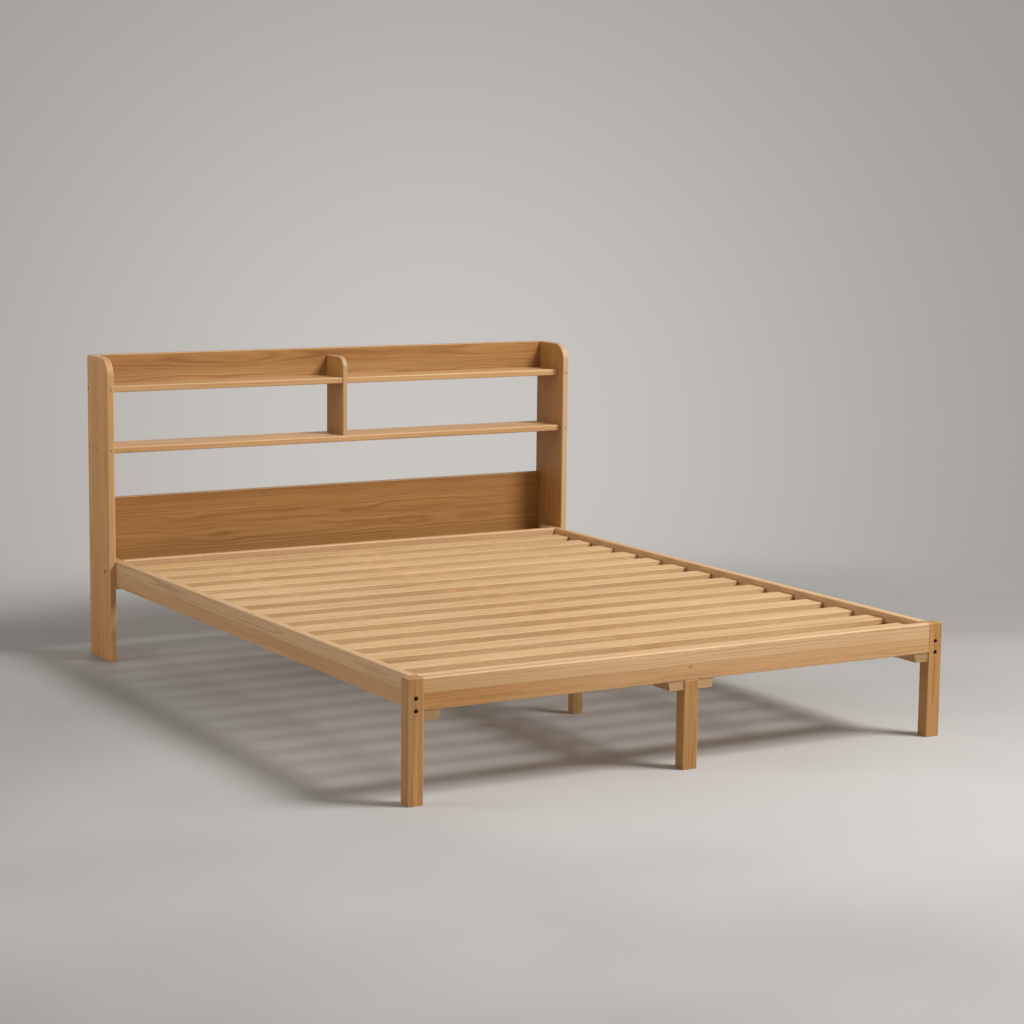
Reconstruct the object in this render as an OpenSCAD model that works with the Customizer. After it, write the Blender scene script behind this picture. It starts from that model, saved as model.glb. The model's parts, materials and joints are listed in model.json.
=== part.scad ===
// Wooden double bed frame with a shelf headboard.
// Millimetres. The floor is Z = 0, the foot end faces -Y, the headboard is at +Y,
// and the origin is on the floor under the middle of the bed.

/* [Mattress] */
// Width of the mattress that the frame takes
mattress_w = 1600; // [1350:10:1830]
// Length of the mattress that the frame takes
mattress_l = 2000; // [1880:10:2150]
// Room on each side of the mattress
mattress_side_gap = 2; // [1:0.5:8]
// Room at the end of the mattress
mattress_end_gap = 5; // [2:1:20]

/* [Rails] */
// Thickness of the side, foot and head rails
rail_t = 26; // [22:1:32]
// Height of the side, foot and head rails
rail_h = 84; // [78:1:110]
// Height of the rails' top edge above the floor
rail_top = 327; // [290:1:420]
// Rounding of the rails' top edges
rail_top_r = 5; // [2:0.5:8]
// Rounding of the rails' bottom edges
rail_bottom_r = 2.5; // [1:0.5:5]
// Depth of the foot rail's face behind the front faces of the legs
foot_rail_setback = 1.5; // [0:0.5:4]
// Distance from the ends of the foot rail's tenons to the middle of the legs
tenon_end_gap = 6; // [5:0.5:10]
// Thickness of the foot rail's tenons
tenon_t = 10; // [8:0.5:11]
// Length of side rail that lies inside the headboard's side panels
rail_lap = 100; // [80:1:130]

/* [Legs] */
// Width of a leg, across the bed
leg_w = 44; // [40:1:52]
// Depth of a leg, along the bed
leg_d = 40; // [36:1:50]
// Rounding of a leg's upright edges
leg_edge_r = 2.5; // [1:0.5:6]
// Bevel round the foot of a leg
leg_bevel = 3; // [1:0.5:6]

/* [Headboard] */
// Height of the headboard
headboard_h = 972; // [900:1:1150]
// Depth of the headboard, front to back
headboard_d = 178; // [160:1:240]
// Thickness of the side panels
panel_t = 22; // [20:1:26]
// Radius of the side panels' top front corner
panel_corner_r = 57; // [20:1:80]
// Thickness of the two back boards
back_t = 20; // [18:1:24]
// Reach of the upper back board below the upper shelf's top
upper_back_reach = 30; // [25:1:46]
// Height of the lower back board's bottom edge above the floor
lower_back_bottom = 206; // [120:1:230]
// Height of the lower back board's top edge above the floor
lower_back_top = 509; // [440:1:560]

/* [Shelves] */
// Thickness of the shelves
shelf_t = 20; // [18:1:24]
// Distance from the headboard's top down to the upper shelf's top
upper_shelf_drop = 91; // [77:1:110]
// Distance from the upper shelf's top down to the middle shelf's top
middle_shelf_drop = 193; // [161:1:241]
// Depth of the upper shelf's edge behind the side panels' front edges
upper_shelf_setback = 36; // [30:1:50]
// Depth of the middle shelf's edge behind the side panels' front edges
middle_shelf_setback = 20; // [10:1:30]
// Rounding of the shelves' front edges
shelf_edge_r = 4; // [1:0.5:8]
// Thickness of the divider in the middle of the shelves
divider_t = 16; // [14:1:22]
// Depth of the divider's edge behind the side panels' front edges
divider_setback = 33; // [25:1:50]
// Drop of the divider's top below the headboard's top
divider_drop = 23; // [0:1:30]
// Radius of the divider's top front corner
divider_corner_r = 36; // [10:1:60]

/* [Slats and their supports] */
// Slats in each of the two rolls
slats_per_roll = 7; // [7]
// Width of a slat
slat_w = 75; // [60:1:90]
// Thickness of a slat
slat_t = 18; // [15:1:22]
// Depth of the slats' top below the rails' top edge
slat_recess = 18; // [10:1:22]
// Room at each end of a slat
slat_end_gap = 3; // [1:0.5:6]
// Distance from the foot and head rails to the nearest slat
slat_margin = 25; // [16:1:50]
// Rounding of a slat's long edges
slat_edge_r = 2; // [0.5:0.5:4]
// Width of the tapes that link the slats
tape_w = 30; // [20:1:50]
// Thickness of the tapes
tape_t = 1.2; // [0.8:0.1:2.5]
// Distance of each tape from the middle of the bed
tape_x = 520; // [300:10:600]
// Width of the ledgers on the side rails
ledger_w = 24; // [18:1:30]
// Width of each of the two beams along the middle of the bed
beam_w = 44; // [36:1:48]
// Distance from the foot end, and from the head rail, to the middle of a support leg
support_leg_y = 727; // [550:5:850]
// Width and depth of the two support legs beside the beams
support_leg_w = 32; // [28:1:45]
// Drop of the support legs' tops below the slats
support_leg_drop = 8; // [2:1:12]

/* [Blocks under the rails] */
// Height of the corner blocks and the two cleats
block_h = 26; // [20:1:32]
// Reach of a corner block or cleat past the side of its leg
block_reach = 50; // [40:1:70]
// Length of a corner block along the bed
corner_block_l = 100; // [70:1:160]
// Length of a cleat along the bed
cleat_l = 80; // [70:1:120]
// Slope of a corner block's end from its top to its bottom
block_taper = 8; // [0:1:14]
// Slope of a cleat's ends from top to bottom
cleat_taper = 5; // [0:1:10]
// Depth of the blocks' faces behind the front faces of the legs
block_setback = 4; // [2:1:10]

/* [Bolts, screws and dowels] */
// Height of the middle of the leg bolts above the rails' bottom edge
leg_bolt_rise = 16; // [14:1:24]
// Distance between the two bolts in a front leg
leg_bolt_pitch = 32; // [28:1:40]
// Height of the headboard bolts above the rails' bottom edge
panel_bolt_rise = 45; // [38:1:50]
// Depth of the headboard bolts behind the side panels' front edges
panel_bolt_setback = 41; // [38:1:60]
// Diameter of the bolts' shanks
bolt_d = 6; // [5:0.5:8]
// Diameter of the bolts' heads
bolt_head_d = 12; // [9:0.5:13]
// Height of the bolts' heads
bolt_head_h = 6; // [4:0.5:7]
// Depth of the bolts' heads below the wood's face
bolt_sink = 3; // [1:0.5:5]
// Thickness of the steel plates on the side rails' ends
plate_t = 3; // [2:0.5:5]
// Thickness of the nuts
nut_h = 6; // [5:0.5:8]
// Width of the nuts across their flats
nut_w = 10; // [9:0.5:13]
// Diameter of the wood screws
screw_d = 5; // [4:0.5:5.5]
// Diameter of the wood screws' heads
screw_head_d = 9.5; // [8.5:0.5:10]
// Diameter of the dowels
dowel_d = 8; // [6:0.5:10]
// Depth of a dowel in a side panel
dowel_panel_l = 12; // [10:1:16]
// Depth of a dowel in a board's end
dowel_board_l = 25; // [20:1:35]
// Diameter of the wooden plugs over the side panels' screws
plug_d = 10; // [9.5:0.5:12]
// Thickness of the wooden plugs
plug_h = 4; // [3:0.5:6]
// Diameter of the pins in the side panels' front edges
pin_d = 6; // [4:0.5:8]
// Length of the pins in the side panels' front edges
pin_l = 35; // [20:1:38]
// Diameter of the cam locks in the lower back board
cam_d = 15; // [12:1:18]
// Thickness of the cam locks
cam_h = 12; // [10:0.5:13]
// Distance of the cam locks from the lower back board's ends
cam_inset = 24; // [20:1:34]
// Diameter of the cam bolts
cam_bolt_d = 7; // [5:0.5:8]
// Diameter of the stud in the foot end's middle leg
stud_d = 8; // [6:1:10]
// Room round bolts, screws, dowels and tenons in their holes
fit = 0.15; // [0.1:0.05:0.3]

/* [Hidden] */
$fn = 48;

// Widths, from the mattress outwards
rail_in_x = mattress_w / 2 + mattress_side_gap;
panel_in_x = rail_in_x + rail_t;
half_w = panel_in_x + panel_t;
leg_in_x = half_w - leg_w;
leg_mid_x = half_w - leg_w / 2;

// Lengths, from the foot end to the headboard's back
total_l = foot_rail_setback + rail_t + mattress_l + mattress_end_gap + headboard_d;
foot_y = -total_l / 2;
foot_rail_y = foot_y + foot_rail_setback;
bed_foot_y = foot_rail_y + rail_t;
bed_head_y = bed_foot_y + mattress_l + mattress_end_gap;
rear_y = bed_head_y + headboard_d;
back_y = rear_y - back_t;
rail_foot_y = foot_y + leg_d;
rail_head_y = bed_head_y + rail_lap;
upper_shelf_y = bed_head_y + upper_shelf_setback;
middle_shelf_y = bed_head_y + middle_shelf_setback;
divider_y = bed_head_y + divider_setback;

// Heights, from the floor upwards
rail_bottom = rail_top - rail_h;
block_bottom = rail_bottom - block_h;
slat_bottom = rail_top - slat_recess - slat_t;
support_h = slat_bottom - rail_bottom;
ledger_mid_z = rail_bottom + support_h / 2;
upper_shelf_top = headboard_h - upper_shelf_drop;
middle_shelf_top = upper_shelf_top - middle_shelf_drop;
upper_back_bottom = upper_shelf_top - upper_back_reach;
upper_shelf_mid = upper_shelf_top - shelf_t / 2;
middle_shelf_mid = middle_shelf_top - shelf_t / 2;
divider_top = headboard_h - divider_drop;

// Slats
slat_count = 2 * slats_per_roll;
slat_pitch = (mattress_l + mattress_end_gap - 2 * slat_margin - slat_w) / (slat_count - 1);
slat_half_l = rail_in_x - slat_end_gap;

// Bolts, screws and dowels
leg_bolt_zs = [for (s = [-1, 1]) rail_bottom + leg_bolt_rise + s * leg_bolt_pitch / 2];
plate_screw_zs = [for (s = [0, 1]) rail_bottom + leg_bolt_rise + s * leg_bolt_pitch];
plate_screw_x = (leg_in_x + panel_in_x) / 2;
tenon_shoulder = 12;
plate_margin = 12;
plate_inset = 2;
plate_z0 = leg_bolt_zs[0] - plate_margin;
plate_z1 = plate_screw_zs[1] + plate_margin;
panel_bolt_y = bed_head_y + panel_bolt_setback;
panel_bolt_z = rail_bottom + panel_bolt_rise;
panel_screw_y = rear_y - back_t / 2;
panel_screw_rise = 15;
upper_panel_screw_z = upper_back_bottom + panel_screw_rise;
panel_screw_l = 50;
rail_edge_gap = 22;
rail_dowel_l = 24;
rail_dowel_end_gap = 14;
rail_dowel_pitch = 16;
rail_dowel_ys = [for (k = [1, 0]) rail_head_y - rail_dowel_end_gap - k * rail_dowel_pitch];
rail_dowel_zs = [rail_bottom + rail_edge_gap, rail_top - rail_edge_gap];
shelf_dowel_gap = 28;
shelf_dowel_ys = [upper_shelf_y + shelf_dowel_gap, back_y - shelf_dowel_gap];
middle_dowel_rear_gap = 60;
middle_dowel_ys = [middle_shelf_y + shelf_dowel_gap, rear_y - middle_dowel_rear_gap];
upper_board_dowel_rise = 55;
upper_board_dowel_drop = 27;
upper_board_zs = [upper_back_bottom + upper_board_dowel_rise, headboard_h - upper_board_dowel_drop];
lower_board_span = lower_back_top - lower_back_bottom;
cam_edge_gap = 50;
cam_zs = [lower_back_bottom + cam_edge_gap, lower_back_top - cam_edge_gap];
lower_dowel_zs = [lower_back_bottom + lower_board_span / 3, lower_back_top - lower_board_span / 3];
back_screw_xs = [for (s = [-1, 1], k = [1, 3, 5]) s * k * panel_in_x / 6];
back_screw_l = 55;
divider_screw_rise = 22;
divider_screw_drop = 20;
divider_screw_zs = [upper_shelf_top + divider_screw_rise, divider_top - divider_screw_drop];
divider_dowel_l = 2 * dowel_board_l + divider_t;
divider_screw_l = 60;
divider_screw_y = (divider_y + back_y) / 2;
head_rail_screw_zs = rail_dowel_zs;
head_rail_screw_l = 70;
ledger_screws_per_side = 6;
ledger_screw_l = 40;
ledger_foot_y = foot_y + leg_d + 1;
ledger_l = bed_head_y - 0.5 - ledger_foot_y;
beam_clearance = 0.5;
beam_out_x = leg_w / 2 + block_reach;
beam_in_x = beam_out_x - beam_w;
right_support_y = foot_y + support_leg_y;
left_support_y = bed_head_y + rail_t - support_leg_y;
support_bolt_rise = 13;
support_bolt_drop = 16;
support_bolt_zs = [rail_bottom + support_bolt_rise, slat_bottom - support_bolt_drop];
block_screw_l = 55;
block_screw_inset = 14;
block_screw_pitch = 20;
corner_screw_gap = 20;
cleat_screw_gap = 22;
stud_l = 85;
socket_w = 4.6;
socket_depth = 3;

// ---------- helpers ----------

// Children as they are on the right-hand side, or mirrored to the left-hand side
module on_side(side) {
    if (side < 0) mirror([1, 0, 0]) children();
    else children();
}

// Children on both sides of the bed
module both_sides() {
    for (side = [-1, 1]) on_side(side) children();
}

// Rectangle with its upper and lower corners rounded by two radii
module rounded_rect(w, h, upper_r, lower_r) {
    big = max(upper_r, lower_r);
    translate([big, 0]) square([w - 2 * big, h]);
    translate([0, lower_r]) square([w, h - upper_r - lower_r]);
    for (x = [upper_r, w - upper_r]) translate([x, h - upper_r]) circle(upper_r);
    for (x = [lower_r, w - lower_r]) translate([x, lower_r]) circle(lower_r);
    if (upper_r < big) translate([upper_r, h - big]) square([w - 2 * upper_r, big]);
    if (lower_r < big) translate([lower_r, 0]) square([w - 2 * lower_r, big]);
}

// Board that runs along X from x0 to x1, with its (Y, Z) section as the child
module run_x(x0, x1) {
    translate([x0, 0, 0]) rotate([90, 0, 90]) linear_extrude(x1 - x0) children();
}

// Board that runs along Y from y0 to y1, with its (X, Z) section as the child
module run_y(y0, y1) {
    translate([0, y1, 0]) rotate([90, 0, 0]) linear_extrude(y1 - y0) children();
}

// Outline of a leg's foot end: a tall rectangle with its two bottom corners bevelled
module bevelled_foot(w, h) {
    polygon([[leg_bevel, 0], [w - leg_bevel, 0], [w, leg_bevel], [w, h], [0, h], [0, leg_bevel]]);
}

// Square leg that stands on the floor, with rounded upright edges and a bevelled foot
module leg_post(w, d, h) {
    intersection() {
        linear_extrude(h) rounded_rect(w, d, leg_edge_r, leg_edge_r);
        translate([0, d, 0]) rotate([90, 0, 0]) linear_extrude(d) bevelled_foot(w, h);
        rotate([90, 0, 90]) linear_extrude(w) bevelled_foot(d, h);
    }
}

// Turns a fastener that points along +Z so that it points along the named direction
module pointing(p, dir) {
    turn = dir == "+x" ? [0, 90, 0] : dir == "-x" ? [0, -90, 0] :
        dir == "+y" ? [-90, 0, 0] : dir == "-y" ? [90, 0, 0] : [0, 0, 0];
    translate(p) rotate(turn) children();
}

// Countersunk wood screw, or its hole when grow is over 0; its head is flush with Z = 0,
// and its hole starts in front of it, so that no skin is left over the mouth
module wood_screw(l, grow = 0) {
    head_h = (screw_head_d - screw_d) / 2;
    difference() {
        union() {
            if (grow > 0) translate([0, 0, -grow]) cylinder(h = grow, r = screw_head_d / 2 + grow);
            cylinder(h = head_h, r1 = screw_head_d / 2 + grow, r2 = screw_d / 2 + grow);
            cylinder(h = l + grow, r = screw_d / 2 + grow);
        }
        if (grow == 0) translate([0, 0, -1]) cylinder(h = 1 + head_h, d = screw_d / 2, $fn = 6);
    }
}

// Socket-head bolt, sunk below Z = 0, or its stepped hole when grow is over 0
module sunk_bolt(l, grow = 0) {
    start = grow == 0 ? bolt_sink : 0;
    difference() {
        union() {
            translate([0, 0, start])
                cylinder(h = bolt_sink + bolt_head_h - start, d = bolt_head_d + 4 * grow);
            translate([0, 0, bolt_sink])
                cylinder(h = l - bolt_sink, d = bolt_d + 2 * grow);
        }
        if (grow == 0)
            translate([0, 0, bolt_sink - 1])
                cylinder(h = 1 + socket_depth, d = socket_w, $fn = 6);
    }
}

// Dowel centred on its joint line, or its hole when grow is over 0
module dowel(back_l, front_l, grow = 0) {
    translate([0, 0, -back_l - grow])
        cylinder(h = back_l + front_l + 2 * grow, d = dowel_d + 2 * grow);
}

// Hexagonal nut with a round bore
module hex_nut() {
    difference() {
        cylinder(h = nut_h, d = nut_w / cos(30), $fn = 6);
        translate([0, 0, -1]) cylinder(h = nut_h + 2, d = bolt_d + 2 * fit);
    }
}

// ---------- fastener layouts, drawn as solids or, with grow, as their holes ----------

module headboard_dowel_set(grow = 0) {
    both_sides() {
        for (y = shelf_dowel_ys)
            pointing([panel_in_x, y, upper_shelf_mid], "-x") dowel(dowel_panel_l, dowel_board_l, grow);
        for (y = middle_dowel_ys)
            pointing([panel_in_x, y, middle_shelf_mid], "-x") dowel(dowel_panel_l, dowel_board_l, grow);
        for (z = concat(upper_board_zs, lower_dowel_zs))
            pointing([panel_in_x, panel_screw_y, z], "-x") dowel(dowel_panel_l, dowel_board_l, grow);
    }
    for (y = shelf_dowel_ys)
        pointing([0, y, upper_shelf_mid], "+x")
            dowel(divider_dowel_l / 2, divider_dowel_l / 2, grow);
}

module panel_screw_set(grow = 0) {
    both_sides()
        for (z = [upper_panel_screw_z, middle_shelf_mid])
            pointing([half_w - plug_h, panel_screw_y, z], "-x") wood_screw(panel_screw_l, grow);
}

module panel_plug_set(grow = 0) {
    both_sides()
        for (z = [upper_panel_screw_z, middle_shelf_mid])
            pointing([half_w, panel_screw_y, z], "-x") cylinder(h = plug_h, d = plug_d + 2 * grow);
}

module shelf_screw_set(grow = 0) {
    for (x = back_screw_xs)
        pointing([x, rear_y, upper_shelf_mid], "-y") wood_screw(back_screw_l, grow);
    for (z = divider_screw_zs)
        pointing([0, rear_y, z], "-y") wood_screw(back_screw_l, grow);
    pointing([0, divider_screw_y, middle_shelf_top - shelf_t], "+z") wood_screw(divider_screw_l, grow);
}

module edge_pin_set(grow = 0) {
    both_sides()
        for (z = [upper_shelf_mid, middle_shelf_mid])
            pointing([half_w - panel_t / 2, bed_head_y, z], "+y")
                cylinder(h = pin_l + grow, d = pin_d + 2 * grow);
}

module cam_lock_set(grow = 0) {
    both_sides()
        for (z = cam_zs)
            pointing([panel_in_x - cam_inset, rear_y, z], "-y")
                cylinder(h = cam_h + grow, d = cam_d + 2 * grow);
}

module cam_bolt_set(grow = 0) {
    reach = cam_inset - cam_d / 2 - 0.3 + grow;
    both_sides()
        for (z = cam_zs)
            pointing([panel_in_x + dowel_panel_l + grow, panel_screw_y, z], "-x")
                cylinder(h = dowel_panel_l + reach + grow, d = cam_bolt_d + 2 * grow);
}

module leg_bolt_set(grow = 0) {
    both_sides()
        for (z = leg_bolt_zs)
            pointing([leg_mid_x, foot_y, z], "+y") sunk_bolt(leg_d + plate_t, grow);
}

module plate_screw_set(grow = 0) {
    both_sides()
        for (z = plate_screw_zs)
            pointing([plate_screw_x, foot_y + leg_d, z], "+y") wood_screw(block_screw_l, grow);
}

// Steel plate against the right-hand leg's rear face, or its recess when grow is over 0
module end_plate_shape(grow = 0) {
    translate([leg_in_x + plate_inset - grow, rail_foot_y, plate_z0 - grow])
        cube([leg_w - 2 * plate_inset + 2 * grow, plate_t + grow, plate_z1 - plate_z0 + 2 * grow]);
}

module panel_bolt_set(grow = 0) {
    both_sides()
        pointing([half_w, panel_bolt_y, panel_bolt_z], "-x")
            sunk_bolt(panel_t + rail_t + nut_h + 1, grow);
}

module rail_dowel_set(grow = 0) {
    both_sides()
        for (k = [0, 1])
            pointing([panel_in_x, rail_dowel_ys[k], rail_dowel_zs[k]], "-x")
                dowel(rail_dowel_l / 2, rail_dowel_l / 2, grow);
}

module head_rail_screw_set(grow = 0) {
    both_sides()
        for (z = head_rail_screw_zs)
            pointing([panel_in_x, bed_head_y + rail_t / 2, z], "-x") wood_screw(head_rail_screw_l, grow);
}

module ledger_screw_set(grow = 0) {
    pitch = ledger_l / ledger_screws_per_side;
    both_sides()
        for (k = [0 : ledger_screws_per_side - 1])
            pointing([rail_in_x - ledger_w, ledger_foot_y + (k + 0.5) * pitch, ledger_mid_z], "+x")
                wood_screw(ledger_screw_l, grow);
}

module support_bolt_set(grow = 0) {
    for (side = [-1, 1], z = support_bolt_zs)
        on_side(side)
            pointing([beam_out_x + support_leg_w, side < 0 ? left_support_y : right_support_y, z], "-x")
                sunk_bolt(support_leg_w + beam_w + nut_h + 1, grow);
}

module block_screw_set(grow = 0) {
    foot_rail_mid = foot_rail_y + rail_t / 2;
    both_sides() {
        for (x = [0, -block_screw_pitch])
            pointing([leg_in_x - block_screw_inset + x, foot_rail_mid, block_bottom], "+z")
                wood_screw(block_screw_l, grow);
        pointing([rail_in_x - ledger_w / 2, foot_y + corner_block_l - corner_screw_gap, block_bottom], "+z")
            wood_screw(block_screw_l, grow);
        for (y = [foot_rail_mid, bed_head_y + rail_t / 2,
                  foot_y + leg_d + cleat_screw_gap, bed_head_y - cleat_screw_gap])
            pointing([(beam_in_x + beam_out_x) / 2, y, block_bottom], "+z")
                wood_screw(block_screw_l, grow);
    }
}

module stud_shape(grow = 0) {
    translate([0, foot_rail_y + rail_t / 2, rail_bottom - stud_l / 2 - grow])
        cylinder(h = stud_l + 2 * grow, d = stud_d + 2 * grow);
}

// ---------- headboard ----------

// Upright board with a rounded top front corner, as a (Y, Z) outline
module corner_outline(y0, y1, z0, z1, r) {
    translate([y0 + r, z0]) square([y1 - y0 - r, z1 - z0]);
    translate([y0, z0]) square([y1 - y0, z1 - z0 - r]);
    translate([y0 + r, z1 - r]) circle(r);
}

module headboard_side(side) {
    color("burlywood") on_side(side)
        difference() {
            run_x(panel_in_x, half_w) corner_outline(bed_head_y, rear_y, 0, headboard_h, panel_corner_r);
            headboard_dowel_set(fit);
            panel_screw_set(fit);
            panel_plug_set(fit);
            edge_pin_set(fit);
            cam_bolt_set(fit);
            panel_bolt_set(fit);
            rail_dowel_set(fit);
        }
}

module headboard_side_left() { headboard_side(-1); }
module headboard_side_right() { headboard_side(1); }

module headboard_divider() {
    color("tan")
        difference() {
            run_x(-divider_t / 2, divider_t / 2)
                corner_outline(divider_y, back_y, middle_shelf_top, divider_top, divider_corner_r);
            headboard_dowel_set(fit);
            shelf_screw_set(fit);
        }
}

module upper_back_board() {
    color("peru")
        difference() {
            run_x(-panel_in_x, panel_in_x)
                translate([back_y, upper_back_bottom]) square([back_t, headboard_h - upper_back_bottom]);
            headboard_dowel_set(fit);
            panel_screw_set(fit);
            shelf_screw_set(fit);
        }
}

module lower_back_board() {
    color("peru")
        difference() {
            run_x(-panel_in_x, panel_in_x)
                translate([back_y, lower_back_bottom]) square([back_t, lower_board_span]);
            headboard_dowel_set(fit);
            cam_lock_set(fit);
            cam_bolt_set(fit);
        }
}

// Section of a shelf with its two front edges rounded, from y0 to y1 under top
module shelf_section(y0, y1, top) {
    bottom = top - shelf_t;
    translate([y0 + shelf_edge_r, bottom]) square([y1 - y0 - shelf_edge_r, shelf_t]);
    translate([y0, bottom + shelf_edge_r]) square([2 * shelf_edge_r, shelf_t - 2 * shelf_edge_r]);
    for (z = [bottom + shelf_edge_r, top - shelf_edge_r])
        translate([y0 + shelf_edge_r, z]) circle(shelf_edge_r);
}

module upper_shelf(side) {
    color("wheat") on_side(side)
        difference() {
            run_x(divider_t / 2, panel_in_x) shelf_section(upper_shelf_y, back_y, upper_shelf_top);
            headboard_dowel_set(fit);
            shelf_screw_set(fit);
        }
}

module upper_shelf_left() { upper_shelf(-1); }
module upper_shelf_right() { upper_shelf(1); }

module middle_shelf() {
    color("wheat")
        difference() {
            run_x(-panel_in_x, panel_in_x) shelf_section(middle_shelf_y, rear_y, middle_shelf_top);
            headboard_dowel_set(fit);
            panel_screw_set(fit);
            shelf_screw_set(fit);
        }
}

module headboard_dowels() { color("moccasin") headboard_dowel_set(); }
module panel_screws() { color("silver") panel_screw_set(); }
module panel_screw_plugs() { color("saddlebrown") panel_plug_set(); }
module shelf_screws() { color("silver") shelf_screw_set(); }
module edge_pins() { color("saddlebrown") edge_pin_set(); }

module cam_locks() {
    slot_w = 2.5;
    slot_depth = 3;
    color("gray")
        difference() {
            cam_lock_set();
            both_sides()
                for (z = cam_zs)
                    translate([panel_in_x - cam_inset - slot_w / 2, rear_y - slot_depth, z - cam_d / 3])
                        cube([slot_w, slot_depth + 1, cam_d * 2 / 3]);
        }
}

module cam_bolts() { color("silver") cam_bolt_set(); }

// ---------- legs and rails ----------

module foot_rail_tenons(grow = 0) {
    tenon_l = leg_w / 2 - tenon_end_gap;
    tenon_h = rail_h - 2 * tenon_shoulder;
    y0 = foot_rail_y + (rail_t - tenon_t) / 2;
    z0 = rail_bottom + tenon_shoulder;
    both_sides()
        translate([leg_in_x - 1, y0 - grow, z0 - grow])
            cube([tenon_l + 1 + grow, tenon_t + 2 * grow, tenon_h + 2 * grow]);
}

module front_leg(side) {
    color("peru") on_side(side)
        difference() {
            translate([leg_in_x, foot_y, 0]) leg_post(leg_w, leg_d, rail_top);
            foot_rail_tenons(fit);
            leg_bolt_set(fit);
        }
}

module front_leg_left() { front_leg(-1); }
module front_leg_right() { front_leg(1); }

module foot_center_leg() {
    color("peru")
        difference() {
            translate([-leg_w / 2, foot_y, 0]) leg_post(leg_w, leg_d, rail_bottom);
            stud_shape(fit);
        }
}

module center_leg_stud() { color("silver") stud_shape(); }

// Section of a rail at the given low corner
module rail_section(low) {
    translate([low, rail_bottom]) rounded_rect(rail_t, rail_h, rail_top_r, rail_bottom_r);
}

module foot_rail() {
    color("burlywood")
        difference() {
            union() {
                run_x(-leg_in_x, leg_in_x) rail_section(foot_rail_y);
                foot_rail_tenons();
            }
            stud_shape(fit);
            block_screw_set(fit);
        }
}

module side_rail(side) {
    color("burlywood") on_side(side)
        difference() {
            run_y(rail_foot_y, rail_head_y) rail_section(rail_in_x);
            end_plate_shape(fit);
            plate_screw_set(fit);
            panel_bolt_set(fit);
            rail_dowel_set(fit);
            head_rail_screw_set(fit);
            ledger_screw_set(fit);
        }
}

module side_rail_left() { side_rail(-1); }
module side_rail_right() { side_rail(1); }

module head_rail() {
    color("burlywood")
        difference() {
            run_x(-rail_in_x, rail_in_x) rail_section(bed_head_y);
            head_rail_screw_set(fit);
            block_screw_set(fit);
        }
}

module leg_bolts() { color("dimgray") leg_bolt_set(); }

module rail_end_plates() {
    color("silver")
        difference() {
            both_sides() end_plate_shape();
            leg_bolt_set(fit);
            plate_screw_set(fit);
        }
}

module plate_screws() { color("gray") plate_screw_set(); }
module panel_bolts() { color("dimgray") panel_bolt_set(); }
module support_leg_bolts() { color("dimgray") support_bolt_set(); }

module bolt_nuts() {
    color("gray") {
        both_sides()
            pointing([rail_in_x, panel_bolt_y, panel_bolt_z], "-x") hex_nut();
        for (side = [-1, 1], z = support_bolt_zs)
            on_side(side)
                pointing([beam_in_x, side < 0 ? left_support_y : right_support_y, z], "-x") hex_nut();
    }
}

module rail_dowels() { color("moccasin") rail_dowel_set(); }
module head_rail_screws() { color("silver") head_rail_screw_set(); }

// ---------- slat supports ----------

module slat_ledger(side) {
    color("tan") on_side(side)
        difference() {
            translate([rail_in_x - ledger_w, ledger_foot_y, rail_bottom])
                cube([ledger_w, ledger_l, support_h]);
            ledger_screw_set(fit);
            block_screw_set(fit);
        }
}

module slat_ledger_left() { slat_ledger(-1); }
module slat_ledger_right() { slat_ledger(1); }
module ledger_screws() { color("silver") ledger_screw_set(); }

module center_beam(side) {
    color("tan") on_side(side)
        difference() {
            translate([beam_in_x, bed_foot_y + beam_clearance, rail_bottom])
                cube([beam_w, bed_head_y - bed_foot_y - 2 * beam_clearance, support_h]);
            on_side(side) support_bolt_set(fit);
            block_screw_set(fit);
        }
}

module center_beam_left() { center_beam(-1); }
module center_beam_right() { center_beam(1); }

module support_leg(side, y) {
    color("peru") on_side(side)
        difference() {
            translate([beam_out_x, y - support_leg_w / 2, 0])
                leg_post(support_leg_w, support_leg_w, slat_bottom - support_leg_drop);
            on_side(side) support_bolt_set(fit);
        }
}

module support_leg_left() { support_leg(-1, left_support_y); }
module support_leg_right() { support_leg(1, right_support_y); }

// ---------- blocks under the rails ----------

// Outline in X and Z of a block from x0 to x1, with its low end sloped
module sloped_block(x0, x1) {
    polygon([[x0, rail_bottom], [x0 + block_taper, block_bottom], [x1, block_bottom], [x1, rail_bottom]]);
}

module corner_block(side) {
    color("tan") on_side(side)
        difference() {
            run_y(foot_y + block_setback, foot_y + block_setback + corner_block_l)
                sloped_block(leg_in_x - block_reach, leg_in_x);
            block_screw_set(fit);
        }
}

module corner_block_left() { corner_block(-1); }
module corner_block_right() { corner_block(1); }

// Cleat under the beams' ends, from y0 to y1, with both ends sloped
module beam_cleat(y0, y1) {
    low_x = beam_out_x - cleat_taper;
    run_y(y0, y1)
        polygon([[-beam_out_x, rail_bottom], [-low_x, block_bottom],
                 [low_x, block_bottom], [beam_out_x, rail_bottom]]);
}

module foot_cleat() {
    color("tan")
        difference() {
            beam_cleat(foot_y + block_setback, foot_y + block_setback + cleat_l);
            translate([-leg_w / 2 - fit, foot_y, block_bottom - 1])
                cube([leg_w + 2 * fit, leg_d + fit, block_h + 2]);
            block_screw_set(fit);
        }
}

module head_cleat() {
    color("tan")
        difference() {
            beam_cleat(bed_head_y + rail_t - cleat_l, bed_head_y + rail_t);
            block_screw_set(fit);
        }
}

module block_screws() { color("silver") block_screw_set(); }

// ---------- slats ----------

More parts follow.
